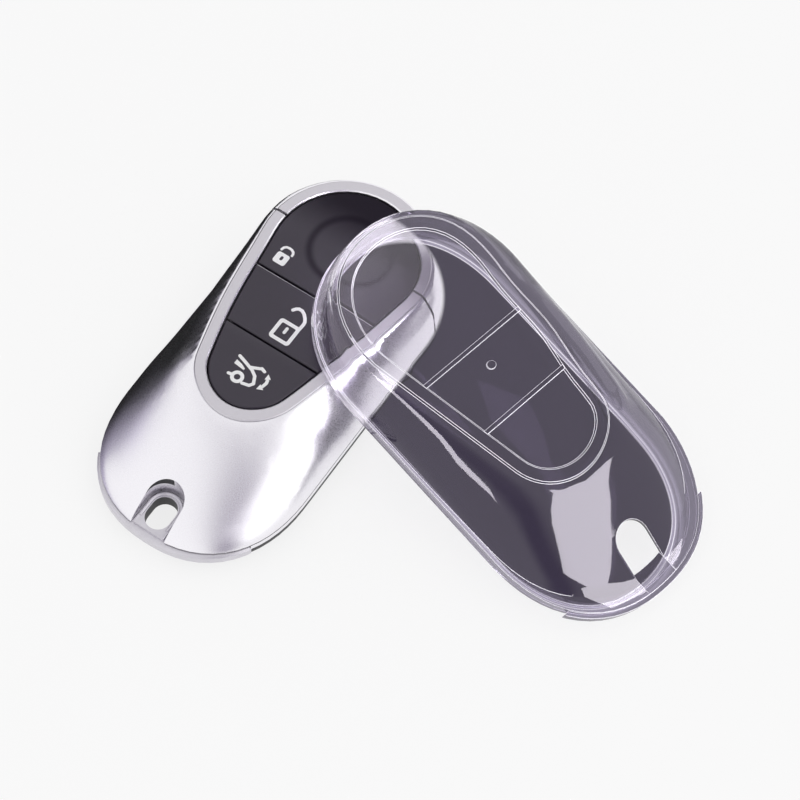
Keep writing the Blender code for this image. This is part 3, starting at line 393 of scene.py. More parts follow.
def panel_black(colours, sizes):
    """Satin-moulded ABS: near black with a fine grain, with painted shade and less gloss along the
    dish's rim and towards the far end.
    """
    made, tree, shader, place = new_material("satin_moulded_abs")
    flat = add(
        tree, "ShaderNodeVectorMath", {0: place, 1: (1.0, 1.0, 0.0)}, operation="MULTIPLY"
    ).outputs["Vector"]
    off_rim = add(
        tree, "ShaderNodeVectorMath", {0: flat, 1: DISH_MIDDLE}, operation="DISTANCE"
    ).outputs["Value"]
    for operation, amount in (("SUBTRACT", DISH_RADIUS), ("ABSOLUTE", 0.0)):
        off_rim = add(
            tree, "ShaderNodeMath", {0: off_rim, 1: amount}, operation=operation
        ).outputs[0]
    dish_rim_painted_shade = add(
        tree,
        "ShaderNodeMapRange",
        {"Value": off_rim, "From Max": DISH_RIM_SHADE_WIDTH, "To Min": 0.35, "To Max": 1.0},
        interpolation_type="SMOOTHSTEP",
    ).outputs["Result"]
    along = add(tree, "ShaderNodeSeparateXYZ", {"Vector": place}).outputs["Y"]
    start, end = PANEL_END_SHADE
    far_end_painted_shade = add(
        tree,
        "ShaderNodeMapRange",
        {"Value": along, "From Min": start, "From Max": end, "To Min": 1.0, "To Max": 0.15},
        interpolation_type="SMOOTHSTEP",
    ).outputs["Result"]
    # Painted shade: the colour darkens and the gloss drops along the dish's rim and towards the far
    # end.
    painted_light_and_gloss = add(
        tree, "ShaderNodeMath", {0: dish_rim_painted_shade, 1: far_end_painted_shade}, operation="MULTIPLY"
    ).outputs[0]
    gloss = add(tree, "ShaderNodeMath", {0: painted_light_and_gloss, 1: 0.5}, operation="MULTIPLY").outputs[0]
    grain = add(
        tree,
        "ShaderNodeTexVoronoi",
        {"Vector": place, "Scale": MM / sizes.panel_grain},
        feature="SMOOTH_F1",
    ).outputs["Distance"]
    wear = add(
        tree, "ShaderNodeTexNoise", {"Vector": place, "Scale": 0.35, "Detail": 4.0}
    ).outputs["Fac"]
    worn = add(
        tree,
        "ShaderNodeMix",
        {"Factor": wear, 6: darker(colours.panel, 0.85), 7: colours.panel},
        data_type="RGBA",
    ).outputs[2]
    surface(
        tree,
        shader,
        {"IOR": 1.53, "Specular IOR Level": gloss},
        tint=(painted_light_and_gloss, darker(colours.panel, 0.45), worn),
        rough=(wear, 0.26, 0.36),
        bump=(grain, 0.18, 0.03),
    )
    return made


def button_edge_highlight(colours, sizes):
    """The same plastic on the buttons' upper edges, painted pale as a highlight."""
    made, tree, shader, place = new_material("button_edge_painted_highlight")
    wear = add(tree, "ShaderNodeTexNoise", {"Vector": place, "Scale": 1.2, "Detail": 4.0})
    surface(
        tree,
        shader,
        {"Roughness": 0.15, "IOR": 1.53},
        tint=(wear.outputs["Fac"], darker(colours.button_edge_highlight, 0.6), colours.button_edge_highlight),
    )
    return made


def sign_ink(colours, sizes):
    """Pad-printed ink: an even white film with a faint mottle."""
    made, tree, shader, place = new_material("pad_printed_ink")
    mottle = add(
        tree, "ShaderNodeTexNoise", {"Vector": place, "Scale": 4.0, "Detail": 3.0}
    ).outputs["Fac"]
    surface(
        tree,
        shader,
        {"Roughness": 0.5, "IOR": 1.5},
        tint=(mottle, darker(colours.sign, 0.9), colours.sign),
        bump=(mottle, 0.1, 0.01),
    )
    return made


def black_plastic(colours, sizes):
    """Glass-filled nylon with a coarse moulded grain: dark, dry and slightly speckled."""
    made, tree, shader, place = new_material("grained_nylon")
    grain = add(
        tree,
        "ShaderNodeTexVoronoi",
        {"Vector": place, "Scale": 1.0 / NYLON_GRAIN},
        feature="SMOOTH_F1",
    )
    speck = add(
        tree, "ShaderNodeTexNoise", {"Vector": place, "Scale": 3.0, "Detail": 5.0}
    ).outputs["Fac"]
    surface(
        tree,
        shader,
        {"IOR": 1.53},
        tint=(speck, darker(colours.back, 0.7), colours.back),
        rough=(speck, 0.45, 0.62),
        bump=(grain.outputs["Distance"], 0.3, 0.05),
    )
    return made


def head_grey(colours, sizes):
    """Painted zinc casting: a satin grey with fine metal flake in the lacquer."""
    made, tree, shader, place = new_material("painted_zinc_casting")
    flake = add(tree, "ShaderNodeTexVoronoi", {"Vector": place, "Scale": 1.0 / METAL_FLAKE})
    cloud = add(tree, "ShaderNodeTexNoise", {"Vector": place, "Scale": 0.5, "Detail": 3.0})
    surface(
        tree,
        shader,
        {"Metallic": 0.55, "Roughness": 0.36, "Coat Weight": 0.3, "Coat Roughness": 0.25},
        tint=(cloud.outputs["Fac"], darker(colours.key_head, 0.85), colours.key_head),
        bump=(flake.outputs["Distance"], 0.08, 0.02),
    )
    return made


def steel(colours, sizes):
    """Brushed stainless steel: lines along the blade that stretch its highlight."""
    made, tree, shader, place = new_material("brushed_stainless_steel")
    stretched = add(tree, "ShaderNodeMapping", {"Vector": place, "Scale": (6.0, 0.25, 6.0)})
    lines = add(
        tree,
        "ShaderNodeTexNoise",
        {"Vector": stretched.outputs["Vector"], "Scale": 1.0, "Detail": 4.0},
    ).outputs["Fac"]
    surface(
        tree,
        shader,
        {"Metallic": 1.0},
        tint=(lines, darker(colours.steel, 0.75), colours.steel),
        rough=(lines, 0.2, 0.36),
        bump=(lines, 0.15, 0.02),
    )
    return made


def board_green(colours, sizes):
    """Solder mask over glass epoxy: glossy green with lighter copper tracks 0.4 mm wide."""
    made, tree, shader, place = new_material("solder_mask_on_glass_epoxy")
    tracks = add(
        tree,
        "ShaderNodeTexBrick",
        {
            "Vector": place,
            "Color1": colours.board,
            "Color2": darker(colours.board, 0.8),
            "Mortar": colours.tracks,
            "Scale": 1.0,
            "Mortar Size": 0.2,
            "Mortar Smooth": 0.3,
            "Brick Width": 4.1,
            "Row Height": 1.7,
        },
    )
    values = {"Base Color": tracks.outputs["Color"], "Roughness": 0.25}
    surface(tree, shader, values, bump=(tracks.outputs["Fac"], 0.4, 0.03))
    return made


def mat_silicone(colours, sizes):
    """Moulded silicone: milky, soft and slightly dusty."""
    made, tree, shader, place = new_material("moulded_silicone")
    dust = add(
        tree, "ShaderNodeTexNoise", {"Vector": place, "Scale": 1.5, "Detail": 5.0}
    ).outputs["Fac"]
    surface(
        tree,
        shader,
        {"IOR": 1.41, "Subsurface Weight": 0.2, "Subsurface Scale": 0.4 * MM},
        tint=(dust, darker(colours.mat, 0.8), colours.mat),
        rough=(dust, 0.5, 0.7),
    )
    return made


def coil_copper(colours, sizes):
    """Enamelled copper wire, 0.25 mm thick, wound in even turns round a ferrite core."""
    made, tree, shader, place = new_material("enamelled_copper_wire")
    turns = add(
        tree,
        "ShaderNodeTexWave",
        {"Vector": place, "Scale": math.pi / (WAVE_UNIT * WIRE_THICK)},
        bands_direction="Z",
    ).outputs["Fac"]
    surface(
        tree,
        shader,
        {"Metallic": 0.8, "Roughness": 0.3, "Coat Weight": 0.5, "Coat Roughness": 0.1},
        tint=(turns, colours.ferrite, colours.copper),
        bump=(turns, 0.6, 0.1),
    )
    return made


def outline_reach(tree, place, turn, origin, middle_x, half_width, end_depth, power):
    """How far out a point lies against an outline on the plane below it, 1 on the outline.

    The point is carried down to the plane along the slope that LEAN gives, because the painted dark of
    the cover was matched at the photograph's angle. turn and origin say how the outline's plane lies.
    """
    lean = turn.transposed() @ LEAN
    across = turn @ Vector((1.0, 0.0, -lean.x / lean.z))
    along = turn @ Vector((0.0, 1.0, -lean.y / lean.z))
    sides = []
    for axis, middle, straight, reach in (
        (across, middle_x, 0.0, half_width),
        (along, OUTLINE_MIDDLE, OUTLINE_STRAIGHT, end_depth),
    ):
        side = add(
            tree, "ShaderNodeVectorMath", {0: place, 1: axis}, operation="DOT_PRODUCT"
        ).outputs["Value"]
        for operation, amount in (
            ("SUBTRACT", axis.dot(origin) + middle),
            ("ABSOLUTE", 0.0),
            ("SUBTRACT", straight),
            ("MAXIMUM", 0.0),
            ("DIVIDE", reach),
            ("POWER", power),
        ):
            side = add(
                tree, "ShaderNodeMath", {0: side, 1: amount}, operation=operation
            ).outputs[0]
        sides.append(side)
    return add(tree, "ShaderNodeMath", {0: sides[0], 1: sides[1]}, operation="ADD").outputs[0]


def cover_place():
    """How the cover is turned on the fob, and the point that its own frame starts from, in mm."""
    level = math.cos(COVER_TILT)
    along = Vector(
        (math.cos(COVER_YAW) * level, math.sin(COVER_YAW) * level, -math.sin(COVER_TILT))
    )
    across = Vector((-math.sin(COVER_YAW), math.cos(COVER_YAW), 0.0))
    turn = Matrix((across, -along, along.cross(across))).transposed()
    return turn, COVER_RING_END - turn @ COVER_RING_END_AT_HOME


def paint_steps(ramp_of_colours, steps):
    """Fills a colour ramp with (place, colour) steps."""
    elements = ramp_of_colours.elements
    while len(elements) < len(steps):
        elements.new(0.5)
    for element, (place, colour) in zip(elements, steps):
        element.position = place
        element.color = colour


def clear_plastic(colours, sizes):
    """Injection-moulded polycarbonate: glossy and clear over the fob, and painted dark past the fob's
    outline, standing in for dark surroundings seen through it.
    """
    made, tree, shader, place = new_material("clear_moulded_polycarbonate")
    turn, origin = cover_place()
    rim_origin = origin + turn @ Vector((0.0, 0.0, RIM_LEVEL))
    opening_size = (PAINTED_RIM_MIDDLE, OPENING_HALF_WIDTH, OPENING_END_DEPTH, OPENING_POWER)
    opening = outline_reach(tree, place, turn, rim_origin, *opening_size)
    widest = Vector((0.0, 0.0, FOB_WIDEST_LEVEL))
    fob_size = (0.0, FOB_HALF_WIDTH, FOB_END_DEPTH, FOB_POWER)
    beside = outline_reach(tree, place, Matrix.Identity(3), widest, *fob_size)
    depth = add(
        tree, "ShaderNodeMapRange", {"Value": opening, "From Min": 0.9, "From Max": 1.4}
    )
    rim = add(tree, "ShaderNodeValToRGB", {"Fac": depth.outputs["Result"]})
    rim_painted_shade_band = darker(colours.cover_rim, 0.55)
    # The rim's bands follow the opening's outline: painted highlight lines and painted dark bands on a
    # lighter grey.
    paint_steps(
        rim.color_ramp,
        (
            (0.13, colours.cover_painted_dark),
            (0.16, colours.cover_line_highlight),
            (0.20, colours.cover_rim),
            (0.29, colours.cover_rim),
            (0.32, colours.cover_line_highlight),
            (0.36, colours.cover_rim),
            (0.50, rim_painted_shade_band),
            (0.56, colours.cover_rim),
            (0.80, rim_painted_shade_band),
        ),
    )
    # Past the fob's outline, seen along the camera's slope, the cover is painted dark.
    past_fob = add(
        tree,
        "ShaderNodeMapRange",
        {"Value": beside, "From Min": 0.90, "From Max": 1.0},
        interpolation_type="SMOOTHSTEP",
    )
    haze = add(
        tree,
        "ShaderNodeMapRange",
        {"Value": opening, "From Min": 0.93, "From Max": 1.0, "To Min": 1.0, "To Max": 0.8},
    )
    flow = add(
        tree, "ShaderNodeTexNoise", {"Vector": place, "Scale": 0.25, "Detail": 2.0}
    ).outputs["Fac"]
    surface(
        tree,
        shader,
        {
            "IOR": 1.58,
            "Transmission Weight": haze.outputs["Result"],
            "Specular Tint": (0.97, 0.92, 1.0, 1.0),
        },
        tint=(past_fob.outputs["Result"], colours.cover_clear, rim.outputs["Color"]),
        rough=(flow, 0.02, 0.05),
        bump=(flow, 0.05, 0.05),
    )
    let_lamps_through(tree, shader, colours.cover_clear)
    return made


def frosted_highlight_plastic(colours, sizes):
    """The cover's rounded edges: frosted plastic painted pale, a painted highlight that shows them as
    fine lines.
    """
    made, tree, shader, place = new_material("frosted_polycarbonate_highlight_edge")
    frost = add(tree, "ShaderNodeTexNoise", {"Vector": place, "Scale": 3.0, "Detail": 3.0})
    surface(
        tree,
        shader,
        {"Base Color": colours.cover_line_highlight, "IOR": 1.58, "Transmission Weight": 0.2},
        rough=(frost.outputs["Fac"], 0.25, 0.45),
    )
    let_lamps_through(tree, shader, colours.cover_line_highlight)
    return made


def show(tree, last):
    """Makes this node the one that the material shows."""
    output = next(item for item in tree.nodes if item.type == "OUTPUT_MATERIAL")
    feed(tree, output, {"Surface": last.outputs["Shader"]})


def let_lamps_through(tree, shader, tint):
    """Lamps reach what lies under this plastic, dimmed by its tint."""
    window = add(tree, "ShaderNodeBsdfTransparent", {"Color": tint})
    path = add(tree, "ShaderNodeLightPath")
    share = path.outputs["Is Shadow Ray"]
    inputs = {"Fac": share, 1: shader.outputs["BSDF"], 2: window.outputs["BSDF"]}
    show(tree, add(tree, "ShaderNodeMixShader", inputs))


FINISHES = {
    maker.__name__: maker
    for maker in (
        satin_silver,
        matte_silver,
        panel_black,
        button_edge_highlight,
        sign_ink,
        black_plastic,
        head_grey,
        steel,
        board_green,
        mat_silicone,
        coil_copper,
        clear_plastic,
        frosted_highlight_plastic,
    )
}
made_finishes = {}


def finish(name, scene):
    """The material of the finish with that name, made once."""
    if name not in made_finishes:
        made_finishes[name] = FINISHES[name](scene.fob_colours, scene.fob_sizes)
    return made_finishes[name]


def only(item):
    """Selects this one object and makes it active."""
    bpy.ops.object.select_all(action="DESELECT")
    item.hide_viewport = False
    item.select_set(True)
    bpy.context.view_layer.objects.active = item
    return item


def open_whole(item):
    """Opens an object for editing with all of it selected."""
    only(item)
    bpy.ops.object.mode_set(mode="EDIT")
    bpy.ops.mesh.select_all(action="SELECT")


def give(item, material):
    """The object gets that material and no other."""
    item.data.materials.clear()
    item.data.materials.append(material)


def smooth_copy(node, name):
    """A merged copy of a CAD solid with smooth shading, which stands for it."""
    only(frame["nodes"][node])
    bpy.ops.object.duplicate(linked=False)
    piece = bpy.context.view_layer.objects.active
    piece.name = name
    del piece["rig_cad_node"]
    open_whole(piece)
    bpy.ops.mesh.customdata_custom_splitnormals_clear()
    bpy.ops.mesh.remove_doubles(threshold=WELD_DISTANCE)
    bpy.ops.object.mode_set(mode="OBJECT")
    bpy.ops.object.shade_smooth_by_angle(angle=SMOOTH_ANGLE)
    return piece


def paint_faces(item, slot, wanted):
    """Gives the faces that wanted(face) is true for another finish."""
    item.data.materials.append(finish(slot, bpy.context.scene))
    last = len(item.data.materials) - 1
    for face in item.data.polygons:
        if wanted(face):
            face.material_index = last


def cut_planes(item, facing, points, wanted=None):
    """Cuts a mesh's faces, or those wanted, along the planes through these points."""
    for point in points:
        edit(item)
        for face in item.data.polygons:
            face.select = wanted is None or wanted(face)
        bpy.ops.object.mode_set(mode="EDIT")
        bpy.ops.mesh.bisect(plane_co=point, plane_no=facing)
        bpy.ops.object.mode_set(mode="OBJECT")


def cut_level(item, level):
    """Cuts a mesh's faces along a level plane and keeps both halves."""
    cut_planes(item, (0.0, 0.0, 1.0), [(0.0, 0.0, level)])


def ramp(low, high, value):
    """0 up to low, 1 from high on, and a soft rise between them."""
    share = max(0.0, min(1.0, (value - low) / (high - low)))
    return share * share * (3.0 - 2.0 * share)


def cut_rows(piece):
    """Cuts a piece of the fob across its length, so that its straight sides can bend."""
    cut_planes(piece, (0.0, 1.0, 0.0), [(0.0, y * MM, 0.0) for y in TOP_ROWS])


def shape_top(piece):
    """Shifts and bulges the top of a piece of the fob, by less than 2 mm, as the mould has it."""
    for vertex in piece.data.vertices:
        x, y, z = vertex.co / MM
        share = ramp(*TOP_FADE, y)
        swell = BULGE * math.exp(-(((y - BULGE_AT_Y) / BULGE_REACH) ** 2))
        side = max(-1.0, min(1.0, x / BULGE_SIDE))
        vertex.co.x += (TOP_SHIFT[0] + swell * side) * share * ramp(*TOP_LEVELS, z) * MM
        vertex.co.y += TOP_SHIFT[1] * share * ramp(*TOP_LEAN_LEVELS, z) * MM


def outer_points(piece):
    """Indices of the vertices on the outside of a shell round the fob's long axis."""
    found = []
    for vertex in piece.data.vertices:
        axis_y = max(-OUTLINE_STRAIGHT, min(OUTLINE_STRAIGHT, vertex.co.y / MM)) * MM
        if vertex.normal.dot(vertex.co - Vector((0.0, axis_y, vertex.co.z))) > 0.0:
            found.append(vertex.index)
    return found


def slope_flank(piece, outer):
    """Lowers the rounded shoulder of the shell to the flatter slope that the moulding has."""
    for index in outer:
        vertex = piece.data.vertices[index]
        z = vertex.co.z / MM
        height = (z - FOB_WIDEST_LEVEL) / DOME_HEIGHT
        if 0.0 < height < 1.0:
            turn = math.asin(height ** (DOME_POWER / 2.0))
            left = math.cos(turn) ** (2.0 / DOME_POWER)
            turn = math.acos(left ** (FLANK_POWER / 2.0))
            sloped = FOB_WIDEST_LEVEL + DOME_HEIGHT * math.sin(turn) ** (2.0 / FLANK_POWER)
            y = vertex.co.y / MM
            share = ramp(*FLANK_FADE, y) * (1.0 - ramp(*FLANK_FAR_FADE, y))
            vertex.co.z += (sloped - z) * share * MM


def open_seam(piece):
    """Widens the seam across the top end a little, so that it shows as a dark line."""
    for vertex in piece.data.vertices:
        past = vertex.co.y - TRIM_SEAM_Y
        if abs(past) < TRIM_SEAM_GAP:
            vertex.co.y += math.copysign(SEAM_WIDEN, past)


def in_cover(place):
    """A point of the scene in the cover's own frame, in millimetres."""
    turn, origin = cover_place()
    return turn.transposed() @ (place / MM - origin)


def shape_cover(piece):
    """Moves the sides and the top of the cover, in its own frame, to where the moulding has them."""
    turn, origin = cover_place()
    rows = [(origin + turn @ Vector((0.0, y, 0.0))) * MM for y in COVER_ROWS]
    cut_planes(
        piece,
        turn @ Vector((0.0, 1.0, 0.0)),
        rows,
        lambda face: in_cover(face.center).x > COVER_CUT_FROM[0]
        and in_cover(face.center).z > COVER_CUT_FROM[1],
    )
    for vertex in piece.data.vertices:
        own = in_cover(vertex.co)
        share = ramp(*COVER_TOP_LEVELS, own.z) * ramp(*COVER_TOP_RING_END, own.y)
        share *= 1.0 - ramp(*COVER_TOP_FAR_END, own.y)
        swell = sum(size * math.exp(-(((own.y - y) / far) ** 2)) for size, y, far in COVER_SWELLS)
        side = ramp(*COVER_SIDES, own.x)
        out = COVER_SIDE_OUT[0] + COVER_SIDE_OUT[1] * ramp(*COVER_SIDE_FADE, own.y)
        top = COVER_TOP_SHIFT[0] * (1.0 - side) + (swell - COVER_TOP_RIGHT) * side
        own.x += COVER_SHIFT + out * side + top * share
        own.y += COVER_TOP_SHIFT[1] * share
        vertex.co = (origin + turn @ own) * MM


def widen_trim(piece):
    """Lets the outer edge of a trim part lap over the gap and the land beside it."""
    cut_level(piece, TRIM_OVERLAP_FROM * MM)
    moves = {}
    for vertex in piece.data.vertices:
        out = Vector((vertex.normal.x, vertex.normal.y, 0.0))
        if abs(vertex.co.y - TRIM_SEAM_Y) < TRIM_SEAM_GAP:
            out.y = 0.0
        sideways = out.length > LEAST_SIDEWAYS
        if sideways and vertex.co.z > TRIM_OVERLAP_FROM * MM - WELD_DISTANCE:
            out.normalize()
            if out.dot(vertex.co - RING_MIDDLE) > 0.0:
                moves[vertex.index] = out * TRIM_OVERLAP * MM
    for index, move in moves.items():
        piece.data.vertices[index].co += move


def dress(context, node, name, body, slot):
    """Puts a smooth copy of a CAD solid in its place, in the finish of its slot."""
    piece = smooth_copy(node, name)
    give(piece, finish(slot, context.scene))
    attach(piece, body)
    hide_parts(node)
    return piece


def edit(item):
    """Opens an object for editing with nothing selected."""
    only(item)
    bpy.ops.object.mode_set(mode="EDIT")
    bpy.ops.mesh.select_all(action="DESELECT")
    bpy.ops.object.mode_set(mode="OBJECT")


def select_points(item, wanted):
    """Selects the vertices that wanted(place) is true for, and goes to edit mode."""
    for vertex in item.data.vertices:
        vertex.select = wanted(vertex.co)
    bpy.ops.object.mode_set(mode="EDIT")


def settle(item):
    """Moves an object's place into its mesh."""
    only(item)
    bpy.ops.object.transform_apply(location=True, rotation=True, scale=True)


def thicken(item, height):
    """Gives a flat face a thickness upwards, with its faces outwards."""
    open_whole(item)
    bpy.ops.mesh.extrude_region_move(TRANSFORM_OT_translate={"value": (0.0, 0.0, height)})
    bpy.ops.mesh.select_all(action="SELECT")
    bpy.ops.mesh.normals_make_consistent(inside=False)
    bpy.ops.object.mode_set(mode="OBJECT")


CAPSULE_POINTS = 24
PRINT_STEP = 0.001 * MM


def bar(start, end, width, low, height):
    """A flat bar with round ends: a disc whose forward half is pushed on to the next point."""
    run = Vector((end[0] - start[0], end[1] - start[1], 0.0))
    bpy.ops.object.select_all(action="DESELECT")
    bpy.ops.mesh.primitive_circle_add(
        vertices=CAPSULE_POINTS,
        radius=width / 2.0,
        fill_type="NGON",
        location=(start[0], start[1], low),
        rotation=(0.0, 0.0, math.atan2(run.y, run.x) if run.length else 0.0),
    )
    item = bpy.context.active_object
    settle(item)
    if run.length:
        edit(item)
        middle = Vector((start[0], start[1], low))
        select_points(item, lambda place: (place - middle).dot(run) > run.length * width * 0.01)
        bpy.ops.transform.translate(value=run)
        bpy.ops.object.mode_set(mode="OBJECT")
    thicken(item, height)
    return item


def plate(points, low, height):
    """A flat plate with the given corners: an n-sided disc whose corners are moved to them."""
    bpy.ops.object.select_all(action="DESELECT")
    bpy.ops.mesh.primitive_circle_add(vertices=len(points), radius=MM, fill_type="NGON")
    item = bpy.context.active_object
    for index, (x, y) in enumerate(points):
        edit(item)
        item.data.vertices[index].select = True
        shift = Vector((x, y, low)) - item.data.vertices[index].co
        bpy.ops.object.mode_set(mode="EDIT")
        bpy.ops.transform.translate(value=shift)
        bpy.ops.object.mode_set(mode="OBJECT")
    settle(item)
    thicken(item, height)
    return item


def cut_away(item, other):
    """Cuts other out of item, and removes other."""
    change = item.modifiers.new("cut_away", "BOOLEAN")
    change.operation = "DIFFERENCE"
    change.solver = "EXACT"
    change.object = other
    only(item)
    bpy.ops.object.modifier_apply(modifier=change.name)
    spare = other.data
    bpy.data.objects.remove(other)
    bpy.data.meshes.remove(spare)
    return item


def joined(items):
    """All the items as one object, each a hair higher than the last, so that no tops share a plane."""
    for index, item in enumerate(items):
        item.location.z = index * PRINT_STEP
        settle(item)
    only(items[0])
    for item in items[1:]:
        item.select_set(True)
    bpy.ops.object.join()
    return items[0]


def stroke(points, width, low, height):
    """A printed line through the points."""
    return [bar(a, b, width, low, height) for a, b in zip(points[:-1], points[1:])]


def rounded_block(low_corner, high_corner, radius, low, height):
    """A printed block with rounded corners."""
    x0, y0 = low_corner
    x1, y1 = high_corner
    points = []
    for cx, cy, start in (
        (x1 - radius, y1 - radius, 0),
        (x0 + radius, y1 - radius, 90),
        (x0 + radius, y0 + radius, 180),
        (x1 - radius, y0 + radius, 270),
    ):
        for step in range(7):
            angle = math.radians(start + 15 * step)
            points.append((cx + radius * math.cos(angle), cy + radius * math.sin(angle)))
    return plate(points, low, height)


def arc(centre, radius, start, end, steps):
    """Points on an arc, with its angles in degrees."""
    angles = [math.radians(start + (end - start) * i / steps) for i in range(steps + 1)]
    return [
        (centre[0] + radius * math.cos(a), centre[1] + radius * math.sin(a)) for a in angles
    ]


def in_metres(points):
    """Points written in millimetres, in metres."""
    return [(x * MM, y * MM) for x, y in points]


# The signs in millimetres: a padlock with its shackle swung up, an open padlock, and the back of a
# car with its boot open. A block is given by two corners, a bar by its ends, a line by its points.
LOCK_BODY = ((-11.32, 15.95), (-8.68, 18.45))
LOCK_BODY_ROUND = 0.5 * MM
LOCK_SLOT = ((-9.98, 17.1), (-9.98, 17.5))
LOCK_SLOT_WIDTH = 0.6 * MM
LOCK_SHACKLE = (
    (-11.08, 18.95), (-10.95, 19.5), (-10.55, 19.88), (-10.0, 19.98),
    (-9.4, 19.9), (-8.9, 19.62), (-8.68, 19.2), (-8.66, 18.85),
)
UNLOCK_BODY = ((-2.7, 2.25), (1.75, 6.85))
UNLOCK_BODY_ROUND = 0.7 * MM
UNLOCK_HOLLOW = ((-1.98, 2.97), (1.03, 6.13))
UNLOCK_HOLLOW_ROUND = 0.25 * MM
UNLOCK_SLOT = ((-0.47, 4.42), (-0.47, 5.38))
UNLOCK_SLOT_WIDTH = 0.62 * MM
UNLOCK_SHACKLE = (
    (-1.86, 9.28), (-1.5, 9.8), (-1.0, 10.12), (-0.35, 10.1), (0.3, 9.75),
    (0.95, 9.1), (1.4, 8.4), (1.5, 7.85), (1.45, 6.6),
)
BOOT_WHEEL = ((-2.21, -8.07), (-2.21, -8.07))
BOOT_WHEEL_WIDTH = 2.6 * MM
BOOT_HUB_WIDTH = 1.2 * MM
BOOT_OUTLINE = (
    (-0.77, -8.64), (0.58, -8.31), (1.06, -7.59), (0.36, -6.16),
    (-0.78, -5.38), (-2.51, -4.77), (-4.3, -4.2),
)
BOOT_LINES = (
    ((-3.4, -8.2), (-3.99, -8.29)),
    BOOT_OUTLINE,
    ((-1.3, -5.06), (0.64, -4.16)),
    ((0.52, -4.13), (1.29, -4.39)),
    ((2.78, -5.61), (2.93, -6.17), (2.73, -7.16)),
)
BOOT_PLATES = (
    ((-4.3, -5.11), (-4.31, -6.02), (-2.05, -6.26), (-2.01, -5.89), (-3.07, -5.38)),
    ((2.21, -4.43), (2.19, -5.68), (3.18, -5.11)),
    ((2.07, -8.18), (3.26, -7.63), (2.18, -6.93)),
)


CUT_PAST = 1.0 * MM


def cut_out(item, shape, measure, points, low, height):
    """Cuts a bar or a block right through a print."""
    hole = shape(*in_metres(points), measure, low - CUT_PAST, height + 2.0 * CUT_PAST)
    cut_away(item, hole)


def print_on(context, sign, name, body):
    """Finishes a sign as ink that moves with its button."""
    sign.name = name
    open_whole(sign)
    bpy.ops.mesh.normals_make_consistent(inside=False)
    bpy.ops.object.mode_set(mode="OBJECT")
    give(sign, finish("sign_ink", context.scene))
    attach(sign, body)
    return sign


def print_sizes(context, zone):
    """The line width, the lowest point and the height of the sign on the button of that zone."""
    sizes = context.scene.fob_sizes
    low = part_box(zone + "_button")[1].z - sizes.sign_sunk
    return getattr(sizes, zone + "_stroke"), low, sizes.sign_sunk + sizes.sign_thick


def in_painted_scoop_shade(face):
    """The far side of the scoop's wall at the ring end, given black plastic as painted shade."""
    half_width, low, high = PAINTED_SCOOP_SHADE_WALL
    x, y, z = face.center / MM
    side_on = abs(face.normal.z) < 0.5 and face.normal.x > 0.1
    return side_on and abs(x) < half_width and low < y < high and z * MM > PAINTED_SCOOP_SHADE_FROM


def inner_bevel(face):
    """The polished bevel on the inner edge of the trim."""
    inward = face.normal.dot(face.center - RING_MIDDLE - Vector((0.0, 0.0, face.center.z))) < 0.0
    return inward and 0.3 < face.normal.z < 0.95


def upper_edge(face):
    """The rounded edge of a button on its side towards the top end."""
    return face.normal.y > 0.4 and face.normal.z > 0.3


def silver_side(face):
    """The upper part of the back shell's side, which is plated like the body."""
    return face.center.z > SILVER_SIDE_FROM and abs(face.normal.z) < 0.5


def in_painted_eye_shade(face):
    """The wall of the keyring eye, given black plastic as painted shade in the hole."""
    half_width, low, high = PAINTED_EYE_SHADE_WALL
    x, y, z = face.center / MM
    return abs(face.normal.z) < 0.4 and abs(x) < half_width and low < y < high


class FOB_OT_silver_body(bpy.types.Operator):
    """Dresses the satin silver shell and its cap past the seam"""

    bl_idname = "fob.silver_body"
    bl_label = "Silver Body"

    def execute(self, context):
        for node, name in (("front_shell", "silver_body"), ("top_cap", "silver_top_cap")):
            part = dress(context, node, name, "fob", "satin_silver")
            # The scoop wall's far side is cut at this level and given black plastic above it as
            # painted shade.
            cut_level(part, PAINTED_SCOOP_SHADE_FROM)
            paint_faces(part, "black_plastic", in_painted_scoop_shade)
            open_seam(part)
            cut_rows(part)
            outer = outer_points(part)
            shape_top(part)
            slope_flank(part, outer)
        return {"FINISHED"}


class FOB_OT_trim_ring(bpy.types.Operator):
    """Dresses the two parts of the blasted trim ring round the buttons"""

    bl_idname = "fob.trim_ring"
    bl_label = "Trim Ring"

    def execute(self, context):
        for node, name in (("bezel_main", "trim_ring_long"), ("bezel_cap", "trim_ring_cap")):
            part = dress(context, node, name, "fob", "matte_silver")
            paint_faces(part, "satin_silver", inner_bevel)
            widen_trim(part)
            open_seam(part)
            cut_rows(part)
            shape_top(part)
        return {"FINISHED"}


class FOB_OT_buttons(bpy.types.Operator):
    """Dresses the three black push buttons"""

    bl_idname = "fob.buttons"
    bl_label = "Buttons"

    def execute(self, context):
        for zone in ("lock", "unlock", "boot"):
            button = zone + "_button"
            part = dress(context, button, zone + "_push_button", zone + "_key", "panel_black")
            # Every button but the lock one gets a painted highlight on its upper edge.
            if zone != "lock":
                paint_faces(part, "button_edge_highlight", upper_edge)
            cut_rows(part)
            shape_top(part)
        return {"FINISHED"}


class FOB_OT_lock_sign(bpy.types.Operator):
    """Prints a small padlock with its shackle swung up on the lock button"""

    bl_idname = "fob.lock_sign"
    bl_label = "Lock Sign"

    def execute(self, context):
        width, low, height = print_sizes(context, "lock")
        body = rounded_block(*in_metres(LOCK_BODY), LOCK_BODY_ROUND, low, height)
        cut_out(body, bar, LOCK_SLOT_WIDTH, LOCK_SLOT, low, height)
        shackle = stroke(in_metres(LOCK_SHACKLE), width, low, height)
        print_on(context, joined([body, *shackle]), "lock_sign", "lock_key")
        return {"FINISHED"}


